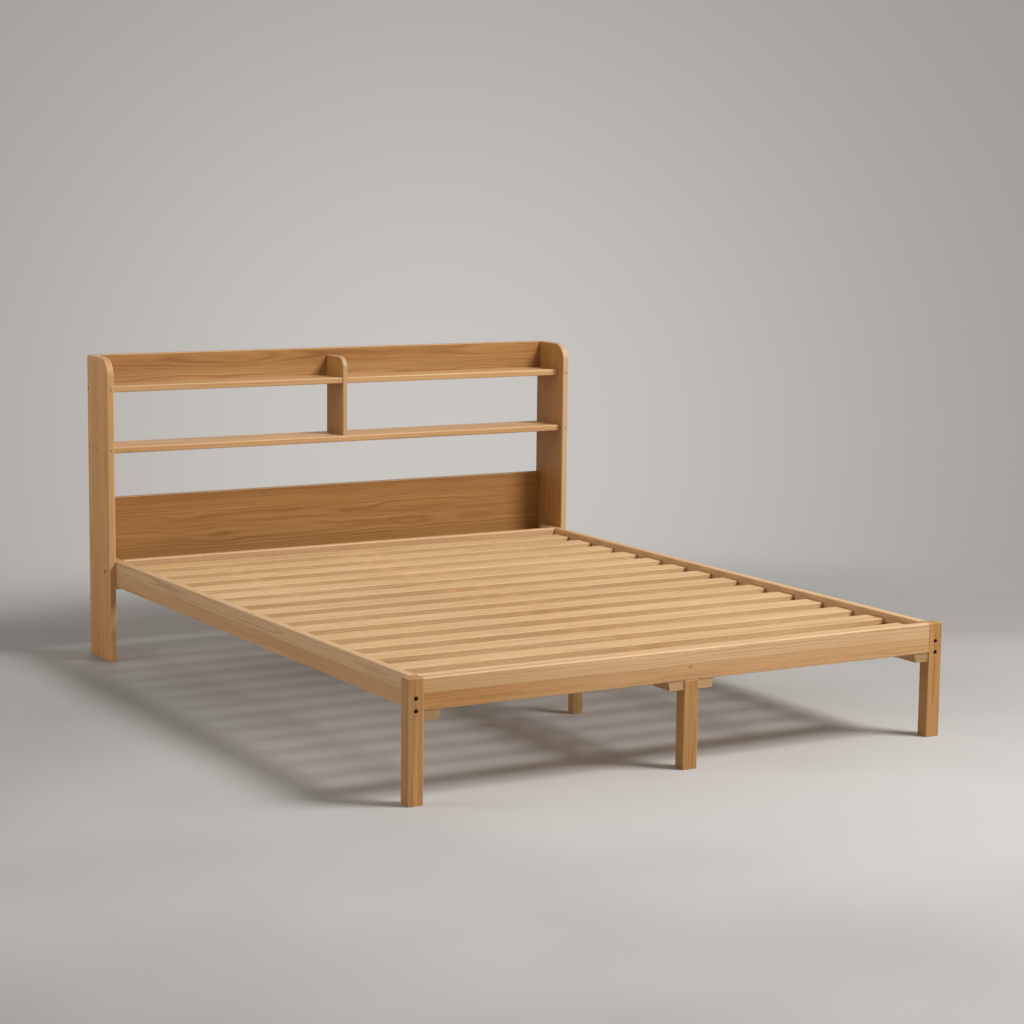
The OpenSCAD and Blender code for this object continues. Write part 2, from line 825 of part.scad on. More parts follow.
// One slat, counted from 0 at the foot end
module slat(index) {
    y = bed_foot_y + slat_margin + index * slat_pitch;
    color("wheat")
        run_x(-slat_half_l, slat_half_l)
            translate([y, slat_bottom]) rounded_rect(slat_w, slat_t, slat_edge_r, slat_edge_r);
}

module slat_01() { slat(0); }
module slat_02() { slat(1); }
module slat_03() { slat(2); }
module slat_04() { slat(3); }
module slat_05() { slat(4); }
module slat_06() { slat(5); }
module slat_07() { slat(6); }
module slat_08() { slat(7); }
module slat_09() { slat(8); }
module slat_10() { slat(9); }
module slat_11() { slat(10); }
module slat_12() { slat(11); }
module slat_13() { slat(12); }
module slat_14() { slat(13); }

// Two tapes along the undersides of one roll's slats, from slat number first
module roll_tapes(first) {
    y0 = bed_foot_y + slat_margin + first * slat_pitch + slat_edge_r;
    run = (slats_per_roll - 1) * slat_pitch + slat_w - 2 * slat_edge_r;
    color("gainsboro") both_sides()
        translate([tape_x - tape_w / 2, y0, slat_bottom - tape_t]) cube([tape_w, run, tape_t]);
}

module foot_roll_tapes() { roll_tapes(0); }
module head_roll_tapes() { roll_tapes(slats_per_roll); }

headboard_side_left();
headboard_side_right();
headboard_divider();
upper_back_board();
lower_back_board();
upper_shelf_left();
upper_shelf_right();
middle_shelf();
headboard_dowels();
panel_screws();
panel_screw_plugs();
shelf_screws();
edge_pins();
cam_locks();
cam_bolts();
front_leg_left();
front_leg_right();
foot_center_leg();
center_leg_stud();
foot_rail();
side_rail_left();
side_rail_right();
head_rail();
leg_bolts();
rail_end_plates();
plate_screws();
panel_bolts();
support_leg_bolts();
bolt_nuts();
rail_dowels();
head_rail_screws();
slat_ledger_left();
slat_ledger_right();
ledger_screws();
center_beam_left();
center_beam_right();
support_leg_left();
support_leg_right();
corner_block_left();
corner_block_right();
foot_cleat();
head_cleat();
block_screws();
slat_01();
slat_02();
slat_03();
slat_04();
slat_05();
slat_06();
slat_07();
slat_08();
slat_09();
slat_10();
slat_11();
slat_12();
slat_13();
slat_14();
foot_roll_tapes();
head_roll_tapes();
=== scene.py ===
"""Looks of the wooden bed frame with a shelf headboard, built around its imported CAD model."""
import json
import math
import random

import bmesh
import bpy
from mathutils import Matrix, Vector


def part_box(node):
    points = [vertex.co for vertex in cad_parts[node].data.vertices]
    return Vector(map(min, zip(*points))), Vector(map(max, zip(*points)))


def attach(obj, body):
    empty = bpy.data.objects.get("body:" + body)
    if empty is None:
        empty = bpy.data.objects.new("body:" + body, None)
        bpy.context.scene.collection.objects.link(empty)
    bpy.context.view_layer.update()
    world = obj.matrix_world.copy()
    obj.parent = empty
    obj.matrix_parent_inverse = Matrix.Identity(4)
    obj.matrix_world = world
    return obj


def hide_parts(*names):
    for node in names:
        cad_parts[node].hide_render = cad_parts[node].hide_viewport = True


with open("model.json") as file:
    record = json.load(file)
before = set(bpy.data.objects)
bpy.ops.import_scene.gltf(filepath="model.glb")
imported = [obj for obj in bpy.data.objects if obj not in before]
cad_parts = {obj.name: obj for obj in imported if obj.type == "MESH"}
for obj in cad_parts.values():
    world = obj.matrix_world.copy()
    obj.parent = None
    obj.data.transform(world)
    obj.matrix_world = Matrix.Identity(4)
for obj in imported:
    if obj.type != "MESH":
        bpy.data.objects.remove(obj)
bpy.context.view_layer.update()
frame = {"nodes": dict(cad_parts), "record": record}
record = frame["record"]
BODY = {node: body for body, nodes in record["behaviour"]["bodies"].items() for node in nodes}
SLOT = {entry["node"]: entry["material_slot"] for entry in record["subparts"]}
MM = 0.001
TURN = 2 * math.pi

# ---------- camera ----------

# Place in metres, lens in millimetres, angles in radians: yaw from +Y to the right, pitch downwards
CAMERA_PLACE = Vector((-3.6820, -6.4560, 1.6046))
CAMERA_YAW = 0.5284
CAMERA_PITCH = 0.1406
CAMERA_ROLL = 0.0111
CAMERA_LENS = 87.52
SENSOR_WIDTH = 36.0


def make_camera():
    """The camera, turned by its yaw, then its pitch, then its roll."""
    data = bpy.data.cameras.new("camera")
    data.lens = CAMERA_LENS
    data.sensor_width = SENSOR_WIDTH
    data.clip_end = 100.0
    camera = bpy.data.objects.new("camera", data)
    bpy.context.scene.collection.objects.link(camera)
    ahead = Vector((math.sin(CAMERA_YAW) * math.cos(CAMERA_PITCH),
                    math.cos(CAMERA_YAW) * math.cos(CAMERA_PITCH), -math.sin(CAMERA_PITCH)))
    right = Vector((math.cos(CAMERA_YAW), -math.sin(CAMERA_YAW), 0))
    up = right.cross(ahead)
    rolled_right = right * math.cos(CAMERA_ROLL) + up * math.sin(CAMERA_ROLL)
    rolled_up = up * math.cos(CAMERA_ROLL) - right * math.sin(CAMERA_ROLL)
    turn = Matrix((rolled_right, rolled_up, -ahead)).transposed()
    camera.matrix_world = Matrix.Translation(CAMERA_PLACE) @ turn.to_4x4()
    bpy.context.scene.camera = camera


# ---------- material nodes ----------

def linear(r, g, b):
    """An sRGB colour from 0 to 255 as linear red, green, blue and alpha."""
    def one(c):
        c /= 255
        return c / 12.92 if c <= 0.04045 else ((c + 0.055) / 1.055) ** 2.4
    return (one(r), one(g), one(b), 1.0)


class Nodes:
    """Short calls that build the nodes of one material, or of the world."""

    def __init__(self, owner):
        self.owner = owner
        owner.use_nodes = True
        self.tree = owner.node_tree
        self.tree.nodes.clear()

    def add(self, kind, values, **settings):
        """A node of a kind, with each input set to a value or linked to a socket."""
        node = self.tree.nodes.new("ShaderNode" + kind)
        for key, value in settings.items():
            setattr(node, key, value)
        for key, value in values.items():
            if isinstance(value, bpy.types.NodeSocket):
                self.tree.links.new(value, node.inputs[key])
            else:
                node.inputs[key].default_value = value
        return node

    def math(self, operation, *values):
        """What a Math node makes of its values."""
        return self.add("Math", dict(enumerate(values)), operation=operation).outputs[0]

    def scaled(self, vector, factors):
        """A vector with each part times its own factor."""
        return self.add("VectorMath", {0: vector, 1: factors}, operation="MULTIPLY").outputs[0]

    def noise(self, vector, seed, detail=2.0, roughness=0.5):
        """A noise from 0 to 1 that a seed shifts."""
        values = {"Vector": vector, "W": seed, "Scale": 1.0, "Detail": detail,
                  "Roughness": roughness}
        return self.add("TexNoise", values, noise_dimensions="4D").outputs[0]

    def attribute(self, name, output="Fac"):
        """What the mesh carries under a name, as one number or as a vector."""
        return self.add("Attribute", {}, attribute_name=name).outputs[output]

    def mix(self, factor, a, b, blend="MIX"):
        """Two colours mixed or blended by a factor."""
        node = self.add("Mix", {0: factor, 6: a, 7: b}, data_type="RGBA", blend_type=blend)
        return node.outputs[2]

    def ramp(self, factor, stops):
        """A colour ramp through pairs of place and colour."""
        node = self.add("ValToRGB", {"Fac": factor})
        elements = node.color_ramp.elements
        while len(elements) < len(stops):
            elements.new(0.5)
        for element, (place, color) in zip(elements, stops):
            element.position = place
            element.color = color
        return node.outputs[0]

    def range(self, value, low, high, to_low, to_high):
        """A value carried from one range to another, and held at its ends."""
        node = self.add("MapRange", {0: value, 1: low, 2: high, 3: to_low, 4: to_high})
        return node.outputs[0]

    def smooth_step(self, value, low, high):
        """0 below the range and 1 above it, with a smooth change between."""
        node = self.add("MapRange", {0: value, 1: low, 2: high}, interpolation_type="SMOOTHSTEP")
        return node.outputs[0]

    def distance(self, vector):
        """A vector's length."""
        return self.add("VectorMath", {0: vector}, operation="LENGTH").outputs["Value"]

    def surface(self, values):
        """Ends a material in one shader, and gives the material."""
        shader = self.add("BsdfPrincipled", values)
        self.add("OutputMaterial", {"Surface": shader.outputs[0]})
        return self.owner


def material_nodes(name):
    """An empty new material."""
    return Nodes(bpy.data.materials.new(name))


# Painted highlights: tones of the eased edges, and of a board's narrow sides
EDGE_HIGHLIGHT, RIM_HIGHLIGHT = linear(230, 194, 146), linear(212, 184, 154)
# What a piece's tone and a stave's number are multiplied by, for a seed of its own
TONE_STEP, STAVE_STEP = 91.0, 17.31
# Spread of the hearts where a board has no staves, and their depth under the face
PLAIN_SPREAD, HEART_DEPTH, HEART_VARIES = 0.05, 0.022, 0.05
# Scales of the noises, per metre along, across and through the grain
SWAY, RIPPLE, FADE = (1.5, 2.5, 2.5), (9.0, 30.0, 30.0), (3.0, 30.0, 30.0)
STREAK, FIBRE = (1.4, 70.0, 70.0), (7.0, 420.0, 420.0)
BROAD, PORE = (1.2, 12.0, 12.0), (26.0, 1300.0, 1300.0)


def find_stave(n, across, tone, stave, shift):
    """Place across a stave, its seed and the spread of its heart, or the whole board's."""
    if not stave:
        return across, n.math("MULTIPLY", tone, TONE_STEP), PLAIN_SPREAD
    count = n.math("FLOOR", n.math("DIVIDE", n.math("SUBTRACT", across, shift), stave))
    middle = n.math("ADD", n.math("MULTIPLY", n.math("ADD", count, 0.5), stave), shift)
    seed = n.math("ADD", n.math("MULTIPLY", tone, TONE_STEP), n.math("MULTIPLY", count, STAVE_STEP))
    return n.math("SUBTRACT", across, middle), seed, stave * 1.1


def growth_rings(n, grain, seed, heart, depth, ring, line_width, bend):
    """Rings round a heart at a place and a depth, from -0.3 between the lines to 0.7 on them."""
    sway = n.noise(n.scaled(grain, SWAY), seed, 2.0)
    ripple = n.noise(n.scaled(grain, RIPPLE), seed, 2.0)
    squares = n.math("ADD", n.math("MULTIPLY", heart, heart), n.math("MULTIPLY", depth, depth))
    radius = n.math("SQRT", squares)
    radius = n.math("MULTIPLY_ADD", n.math("SUBTRACT", sway, 0.5), bend, radius)
    radius = n.math("MULTIPLY_ADD", n.math("SUBTRACT", ripple, 0.5), 0.004, radius)
    wave = n.math("SINE", n.math("MULTIPLY", radius, TURN / ring))
    rings = n.math("POWER", n.math("MULTIPLY_ADD", wave, 0.5, 0.5), line_width)
    fade = n.noise(n.scaled(grain, FADE), seed, 1.0)
    return n.math("MULTIPLY", n.math("SUBTRACT", rings, 0.3), n.range(fade, 0.35, 0.65, 0.2, 1.0))


def add_knot(n, shade, along, across, knot):
    """A knot, longer along the grain: its place along and across, its size and its darkness."""
    place_along, place_across, size, darkness = knot
    u = n.math("MULTIPLY", n.math("SUBTRACT", along, place_along), 0.6 / size)
    v = n.math("DIVIDE", n.math("SUBTRACT", across, place_across), size)
    far = n.math("ADD", n.math("MULTIPLY", u, u), n.math("MULTIPLY", v, v))
    spot = n.math("EXPONENT", n.math("MULTIPLY", far, -1.0))
    return n.math("MULTIPLY_ADD", spot, -darkness, shade)


def add_end_shade(n, color, along, below, end_shade):
    """Painted shade that grows from a start to an end, with the upper stave's share of it."""
    start, end, upper_share, shade_tint = end_shade
    share = n.math("MULTIPLY_ADD", below, 1.0 - upper_share, upper_share)
    share = n.math("MULTIPLY", share, n.range(along, start, end, 0.0, 1.0))
    return n.mix(share, color, shade_tint, "MULTIPLY")


def wood(name, dark, middle, light, stave=0.0, stave_shift=0.0, stave_contrast=0.05,
         ring=0.0045, lines=0.28, line_width=3.0, streaks=0.4, bend=0.022, rough=0.45,
         seams=False, lower=None, end_shade=None, knots=(), rim=0.0):
    """Oiled wood, solid through the piece: grain runs along the piece's own first direction.

    Staves are the glued strips side by side, each with its own shade and its own heart. The
    shift is where one of them starts. Lower is the tint of the staves on that place's low side.
    """
    n = material_nodes(name)
    grain = n.attribute("grain", "Vector")
    parts = n.add("SeparateXYZ", {0: grain})
    along, across, through = parts.outputs[0], parts.outputs[1], parts.outputs[2]
    local, seed, spread = find_stave(n, across, n.attribute("tone"), stave, stave_shift)
    chance = n.add("TexWhiteNoise", {"W": seed}, noise_dimensions="1D")
    picks = n.add("SeparateColor", {0: chance.outputs["Color"]})

    # Growth rings round a heart that lies under the face
    heart = n.math("MULTIPLY_ADD", n.math("SUBTRACT", picks.outputs[0], 0.5), spread, local)
    depth = n.math("MULTIPLY_ADD", picks.outputs[1], HEART_VARIES, HEART_DEPTH)
    depth = n.math("ADD", through, depth)
    rings = growth_rings(n, grain, seed, heart, depth, ring, line_width, bend)

    # Long soft streaks, fine fibres, broad clouds and the short dark pores
    soft = n.noise(n.scaled(grain, STREAK), seed, 3.0, 0.6)
    fibres = n.noise(n.scaled(grain, FIBRE), seed, 3.0, 0.65)
    broad = n.noise(n.scaled(grain, BROAD), seed, 2.0)
    pores = n.range(n.noise(n.scaled(grain, PORE), seed, 1.0), 0.60, 0.72, 0.0, 1.0)
    shade = n.math("MULTIPLY_ADD", rings, -lines, 0.5)
    for noise, weight in ((soft, streaks), (fibres, 0.45), (broad, 0.40)):
        shade = n.math("MULTIPLY_ADD", n.math("SUBTRACT", noise, 0.5), weight, shade)
    for knot in knots:
        shade = add_knot(n, shade, along, across, knot)
    color = n.ramp(shade, [(0.12, dark), (0.5, middle), (0.84, light)])

    # Each stave's own shade, end grain and pores, then the lower stave's tint, the painted shade
    # towards one end, the painted highlights on the narrow sides and the edges, and the darker ends
    # at the seams
    value = n.range(picks.outputs[2], 0.0, 1.0, 1.0 - stave_contrast, 1.0 + stave_contrast)
    value = n.math("MULTIPLY", value, n.math("MULTIPLY_ADD", n.attribute("end"), -0.16, 1.0))
    value = n.math("MULTIPLY", value, n.math("MULTIPLY_ADD", pores, -0.10, 1.0))
    color = n.add("HueSaturation", {"Color": color, "Value": value}).outputs[0]
    if lower:
        below = n.math("LESS_THAN", across, stave_shift)
        color = n.mix(below, color, lower, "MULTIPLY")
        # Painted shade that deepens towards one end of the piece, less on the upper stave
        if end_shade:
            color = add_end_shade(n, color, along, below, end_shade)
    # Painted highlight on the narrow sides, as strong as rim
    if rim:
        color = n.mix(n.math("MULTIPLY", n.attribute("rim"), rim), color, RIM_HIGHLIGHT)
    # Painted highlight along the eased edges, stronger where the long streaks are pale
    edge_highlight = n.math("MULTIPLY", n.attribute("edge"), n.range(soft, 0.3, 0.7, 0.3, 0.6))
    color = n.mix(edge_highlight, color, EDGE_HIGHLIGHT)
    if seams:
        to_end = n.math("SUBTRACT", n.attribute("half"), n.math("ABSOLUTE", along))
        color = n.mix(n.range(to_end, 0.0, 4.0 * MM, 0.55, 0.0), color, dark, "MULTIPLY")

    roughness = n.range(soft, 0.3, 0.7, rough - 0.05, rough + 0.07)
    height = n.math("MULTIPLY_ADD", pores, -0.6, n.math("MULTIPLY", fibres, 0.5))
    height = n.math("MULTIPLY_ADD", rings, 0.1, height)
    bump = n.add("Bump", {"Height": height, "Strength": 0.2, "Distance": 0.4 * MM})
    return n.surface({"Base Color": color, "Roughness": roughness, "Normal": bump.outputs[0],
                      "Specular IOR Level": 0.35})


def plain_wood(name, dark, light):
    """Turned beech, for dowels that keep their CAD shape."""
    n = material_nodes(name)
    place = n.add("TexCoord", {}).outputs["Object"]
    grain = n.noise(n.scaled(place, (40.0, 400.0, 400.0)), 3.0, 3.0)
    color = n.ramp(grain, [(0.3, dark), (0.7, light)])
    bump = n.add("Bump", {"Height": grain, "Strength": 0.2, "Distance": 0.3 * MM})
    return n.surface({"Base Color": color, "Roughness": 0.6, "Normal": bump.outputs[0]})


def steel(name, dark, light, rough, metallic):
    """Plated or blackened steel with fine mottling and light scratches."""
    n = material_nodes(name)
    place = n.add("TexCoord", {}).outputs["Object"]
    cloud = n.noise(n.scaled(place, (180.0, 180.0, 180.0)), 1.0, 3.0)
    scratch = n.noise(n.scaled(place, (1500.0, 240.0, 1500.0)), 5.0, 2.0)
    color = n.ramp(cloud, [(0.35, dark), (0.65, light)])
    worn = n.math("ADD", cloud, n.math("MULTIPLY", scratch, 0.4))
    roughness = n.range(worn, 0.5, 0.9, rough - 0.06, rough + 0.1)
    bump = n.add("Bump", {"Height": scratch, "Strength": 0.15, "Distance": 0.2 * MM})
    return n.surface({"Base Color": color, "Roughness": roughness, "Metallic": metallic,
                      "Normal": bump.outputs[0]})


def webbing(name, dark, light):
    """Flat woven tape: over-and-under threads with two darker selvedges."""
    warp_pitch, weft_pitch = 1.6 * MM, 1.9 * MM
    n = material_nodes(name)
    grain = n.attribute("grain", "Vector")
    parts = n.add("SeparateXYZ", {0: grain})
    warp = n.math("SINE", n.math("MULTIPLY", parts.outputs[1], TURN / warp_pitch))
    weft = n.math("SINE", n.math("MULTIPLY", parts.outputs[0], TURN / weft_pitch))
    weave = n.math("MULTIPLY_ADD", n.math("MULTIPLY", warp, weft), 0.5, 0.5)
    selvedge = n.range(n.math("ABSOLUTE", parts.outputs[1]), 12.0 * MM, 13.0 * MM, 0.0, 0.35)
    fuzz = n.noise(n.scaled(grain, (60.0, 500.0, 500.0)), 2.0, 3.0)
    shade = n.math("MULTIPLY_ADD", fuzz, 0.5, n.math("MULTIPLY", weave, 0.6))
    color = n.ramp(n.math("SUBTRACT", shade, selvedge), [(0.1, dark), (0.8, light)])
    bump = n.add("Bump", {"Height": weave, "Strength": 0.5, "Distance": 0.4 * MM})
    return n.surface({"Base Color": color, "Roughness": 0.85, "Normal": bump.outputs[0],
                      "Sheen Weight": 0.2})


# Dark, middle and light tones of the woods that more than one material has
# The side panels are one wood in two tones: the right panel's darker, as painted shade on its inner
# face, and the left panel's lighter, as painted light on its outer face
PANEL = (linear(140, 96, 47), linear(182, 134, 76), linear(202, 158, 98))
LIT_LEFT_PANEL = (linear(158, 108, 56), linear(205, 150, 88), linear(224, 176, 116))
DIVIDER = (linear(140, 96, 48), linear(182, 136, 78), linear(202, 160, 101))
BACK_BOARD = (linear(132, 84, 40), linear(171, 123, 69), linear(193, 147, 91))
SHELF = (linear(160, 114, 66), linear(204, 159, 108), linear(226, 188, 142))
RAIL = (linear(172, 128, 84), linear(211, 171, 125), linear(230, 194, 150))
LEG = (linear(138, 92, 46), linear(185, 135, 79), linear(210, 164, 108))
BLOCK = (linear(150, 112, 74), linear(190, 150, 104), linear(214, 178, 136))
SUPPORT = (linear(156, 116, 72), linear(198, 155, 104), linear(222, 184, 138))
SLAT = (linear(176, 134, 86), linear(216, 178, 128), linear(234, 204, 158))
PLUG = (linear(84, 52, 28), linear(122, 82, 46), linear(148, 104, 64))

# Tints of the lower stave, and the painted shade towards the foot rail's left end: start, end,
# upper share and tint
RAIL_LOWER = (0.90, 0.815, 0.71, 1.0)
BACK_LOWER = (1.08, 1.19, 1.40, 1.0)
END_SHADE = (-0.25, -0.70, 0.45, (0.84, 0.715, 0.51, 1.0))

# Knots: place along and across from the piece's middle, size and darkness
PANEL_KNOT = (0.188, 0.007, 0.007, 0.3)
RAIL_KNOT = (-0.004, -0.006, 0.0035, 0.5)

PANEL_GRAIN = {"stave": 0.0445, "streaks": 0.42}
BACK_GRAIN = {"ring": 0.0052, "lines": 0.26, "line_width": 2.0, "streaks": 0.55, "bend": 0.036,
              "seams": True}
RAIL_GRAIN = {"stave": 0.044, "stave_shift": 0.002, "streaks": 0.3, "seams": True,
              "lower": RAIL_LOWER}
# Rim is the strength of each material's painted highlight on its narrow sides
MATERIALS = {
    "panel_wood": wood("panel_wood", *PANEL, **PANEL_GRAIN, rim=0.68),
    "lit_left_panel_wood": wood("lit_left_panel_wood", *LIT_LEFT_PANEL, **PANEL_GRAIN, knots=(PANEL_KNOT,),
                            rim=0.2),
    "divider_wood": wood("divider_wood", *DIVIDER, rim=0.46),
    "back_board_wood": wood("back_board_wood", *BACK_BOARD, stave=0.101, stave_shift=-0.0605,
                            **BACK_GRAIN),
    "upper_back_wood": wood("upper_back_wood", *BACK_BOARD, stave=0.069, stave_shift=0.0085,
                            lower=BACK_LOWER, **BACK_GRAIN),
    "shelf_wood": wood("shelf_wood", *SHELF, stave=0.061, seams=True),
    "rail_wood": wood("rail_wood", *RAIL, **RAIL_GRAIN),
    "foot_rail_wood": wood("foot_rail_wood", *RAIL, **RAIL_GRAIN, end_shade=END_SHADE,
                           knots=(RAIL_KNOT,)),
    "leg_wood": wood("leg_wood", *LEG, stave=0.0147, stave_shift=0.00735, ring=0.004,
                     streaks=0.55),
    "block_wood": wood("block_wood", *BLOCK, rough=0.55),
    "support_wood": wood("support_wood", *SUPPORT, rough=0.55),
    "slat_wood": wood("slat_wood", *SLAT, ring=0.005, bend=0.032, rough=0.55),
    "plug_wood": wood("plug_wood", *PLUG, rough=0.5),
    "dowel_wood": plain_wood("dowel_wood", linear(182, 146, 100), linear(214, 182, 134)),
    "black_steel": steel("black_steel", linear(24, 22, 20), linear(44, 41, 38), 0.38, 0.6),
    "zinc_steel": steel("zinc_steel", linear(150, 150, 148), linear(198, 198, 194), 0.34, 1.0),
    "slat_tape": webbing("slat_tape", linear(150, 142, 128), linear(222, 216, 204)),
}


# ---------- mesh helpers ----------

# The two axes across each axis
OTHERS = ((1, 2), (0, 2), (0, 1))
# Limits that tell faces apart: how far the normal of a flat, a sawn and a narrow side's face
# leans to an axis, and how wide an eased edge may be and how near the box it lies
FLAT, SAWN, SIDE, EDGE_WIDTH = 0.985, 0.9, 0.3, 6 * MM


def outline(corners, radii, steps=6):
    """Corners of a flat shape, each rounded by its own radius."""
    points = []
    for i, (corner, radius) in enumerate(zip(corners, radii)):
        corner = Vector(corner)
        if radius <= 0:
            points.append(corner)
            continue
        before = (Vector(corners[i - 1]) - corner).normalized()
        after = (Vector(corners[(i + 1) % len(corners)]) - corner).normalized()
        half = before.angle(after) / 2
        centre = corner + (before + after).normalized() * radius / math.sin(half)
        start = corner + before * radius / math.tan(half) - centre
        end = corner + after * radius / math.tan(half) - centre
        first = math.atan2(start.y, start.x)
        sweep = (math.atan2(end.y, end.x) - first + math.pi) % TURN - math.pi
        for k in range(steps + 1):
            angle = first + sweep * k / steps
            points.append(centre + Vector((math.cos(angle), math.sin(angle))) * radius)
    return points


def box_outline(low, high, axis, radii, steps=6):
    """Rectangle that a box shows along an axis, with its corners rounded.

    The corners are in this order: low-low, high-low, high-high, low-high.
    """
    a, b = OTHERS[axis]
    corners = [(low[a], low[b]), (high[a], low[b]), (high[a], high[b]), (low[a], high[b])]
    return outline(corners, radii, steps)


def prism(points, axis, low, high, ease=(0.0, 0.0), steps=3):
    """Outline extruded along an axis, with the rims of its two ends eased."""
    a, b = OTHERS[axis]
    bm = bmesh.new()
    rings = []
    for place in (low, high):
        ring = []
        for p in points:
            spot = [0.0, 0.0, 0.0]
            spot[a], spot[b], spot[axis] = p[0], p[1], place
            ring.append(bm.verts.new(spot))
        rings.append(ring)
    count = len(points)
    bm.faces.new(rings[0])
    bm.faces.new(rings[1])
    for i in range(count):
        k = (i + 1) % count
        bm.faces.new((rings[0][i], rings[0][k], rings[1][k], rings[1][i]))
    bmesh.ops.recalc_face_normals(bm, faces=bm.faces)
    for ring, offset in zip(rings, ease):
        if offset > 0:
            rim = [bm.edges.get((ring[i], ring[(i + 1) % count])) for i in range(count)]
            bmesh.ops.bevel(bm, geom=rim, offset=offset, offset_type="OFFSET", segments=steps,
                            profile=0.5, affect="EDGES", clamp_overlap=False)
    return bm


def lathe(profile, place, direction, segments=40):
    """Profile of (radius, depth) pairs turned round a line from place along direction."""
    bm = bmesh.new()
    turn = Vector(direction).to_track_quat("Z", "Y").to_matrix()
    rings = []
    for radius, depth in profile:
        if radius < 1e-7:
            rings.append([bm.verts.new(Vector(place) + turn @ Vector((0, 0, depth)))])
            continue
        ring = []
        for k in range(segments):
            angle = TURN * k / segments
            spot = Vector((math.cos(angle) * radius, math.sin(angle) * radius, depth))
            ring.append(bm.verts.new(Vector(place) + turn @ spot))
        rings.append(ring)
    for one, two in zip(rings, rings[1:]):
        for k in range(segments):
            m = (k + 1) % segments
            corners = [one[k % len(one)], one[m % len(one)], two[m % len(two)], two[k % len(two)]]
            corners = list(dict.fromkeys(corners))
            if len(corners) > 2:
                bm.faces.new(corners)
    bmesh.ops.recalc_face_normals(bm, faces=bm.faces)
    return bm


def joined(parts):
    """One mesh from several bmeshes."""
    whole = bmesh.new()
    for part in parts:
        mesh = bpy.data.meshes.new("part")
        part.to_mesh(mesh)
        part.free()
        whole.from_mesh(mesh)
        bpy.data.meshes.remove(mesh)
    mesh = bpy.data.meshes.new("joined")
    whole.to_mesh(mesh)
    whole.free()
    return mesh


def new_object(name, mesh):
    """A mesh in the scene, under a name."""
    mesh.name = name
    obj = bpy.data.objects.new(name, mesh)
    bpy.context.scene.collection.objects.link(obj)
    return obj


def apply_modifiers(obj):
    """Puts what an object's modifiers make in the place of its mesh."""
    bpy.context.view_layer.update()
    shown = obj.evaluated_get(bpy.context.evaluated_depsgraph_get())
    mesh = bpy.data.meshes.new_from_object(shown, preserve_all_data_layers=True,
                                           depsgraph=bpy.context.evaluated_depsgraph_get())
    obj.modifiers.clear()
    old = obj.data
    obj.data = mesh
    mesh.name = obj.name
    bpy.data.meshes.remove(old)


def carve(obj, cutters):
    """Cuts the given bmeshes out of an object."""
    if not cutters:
        return
    knife = new_object("knife", joined(cutters))
    modifier = obj.modifiers.new("carve", "BOOLEAN")
    modifier.operation = "DIFFERENCE"
    modifier.solver = "EXACT"
    modifier.use_self = False
    modifier.object = knife
    apply_modifiers(obj)
    old = knife.data
    bpy.data.objects.remove(knife)
    bpy.data.meshes.remove(old)


def smooth(obj, angle=38.0):
    """Smooth shading inside sharp edges, with the flat faces kept flat."""
    mesh = obj.data
    mesh.polygons.foreach_set("use_smooth", [True] * len(mesh.polygons))
    mesh.set_sharp_from_angle(angle=math.radians(angle))
    modifier = obj.modifiers.new("normals", "WEIGHTED_NORMAL")
    modifier.keep_sharp = True
    modifier.weight = 100
    apply_modifiers(obj)


def write_data(mesh, name, domain, values, kind="FLOAT"):
    """Keeps values on a mesh's points or faces, under the name that the nodes read."""
    field = "vector" if kind == "FLOAT_VECTOR" else "value"
    mesh.attributes.new(name, kind, domain).data.foreach_set(field, values)


def grain_data(obj, order, axis, rng):
    """Writes the grain's coordinates, the piece's tone, its eased edges, end grain and rim.

    Order is the axes along, across and through the grain; axis is the one it was extruded along.
    """
    mesh = obj.data
    spots = [v.co for v in mesh.vertices]
    low = [min(p[i] for p in spots) for i in range(3)]
    high = [max(p[i] for p in spots) for i in range(3)]
    centre = [(low[i] + high[i]) / 2 for i in range(3)]
    places = [p[i] - centre[i] for p in spots for i in order]
    write_data(mesh, "grain", "POINT", places, "FLOAT_VECTOR")
    write_data(mesh, "tone", "POINT", [rng.random()] * len(spots))
    write_data(mesh, "half", "POINT", [(high[order[0]] - low[order[0]]) / 2] * len(spots))
    edges, ends, rims = [], [], []
    for face in mesh.polygons:
        normal, middle = face.normal, face.center
        slanted = max(abs(c) for c in normal) < FLAT
        longest = max((spots[face.vertices[k]] - spots[face.vertices[k - 1]]).length
                      for k in range(len(face.vertices)))
        narrow = face.area < EDGE_WIDTH * longest
        near = sum(min(middle[i] - low[i], high[i] - middle[i]) < EDGE_WIDTH for i in range(3))
        eased = slanted and narrow and (0.15 < abs(normal[axis]) < FLAT or near >= 2)
        edges.append(1.0 if eased else 0.0)
        ends.append(1.0 if abs(normal[order[0]]) > SAWN else 0.0)
        rims.append(1.0 if abs(normal[order[2]]) < SIDE else 0.0)
    for name, values in (("edge", edges), ("end", ends), ("rim", rims)):
        write_data(mesh, name, "FACE", values)


def dress(obj, material, node=None, body=None):
    """Gives a piece its material and its body from the record, and hides the CAD node it stands in
    for.
    """
    obj.data.materials.clear()
    obj.data.materials.append(MATERIALS[material])
    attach(obj, body or BODY[node])
    if node:
        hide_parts(node)


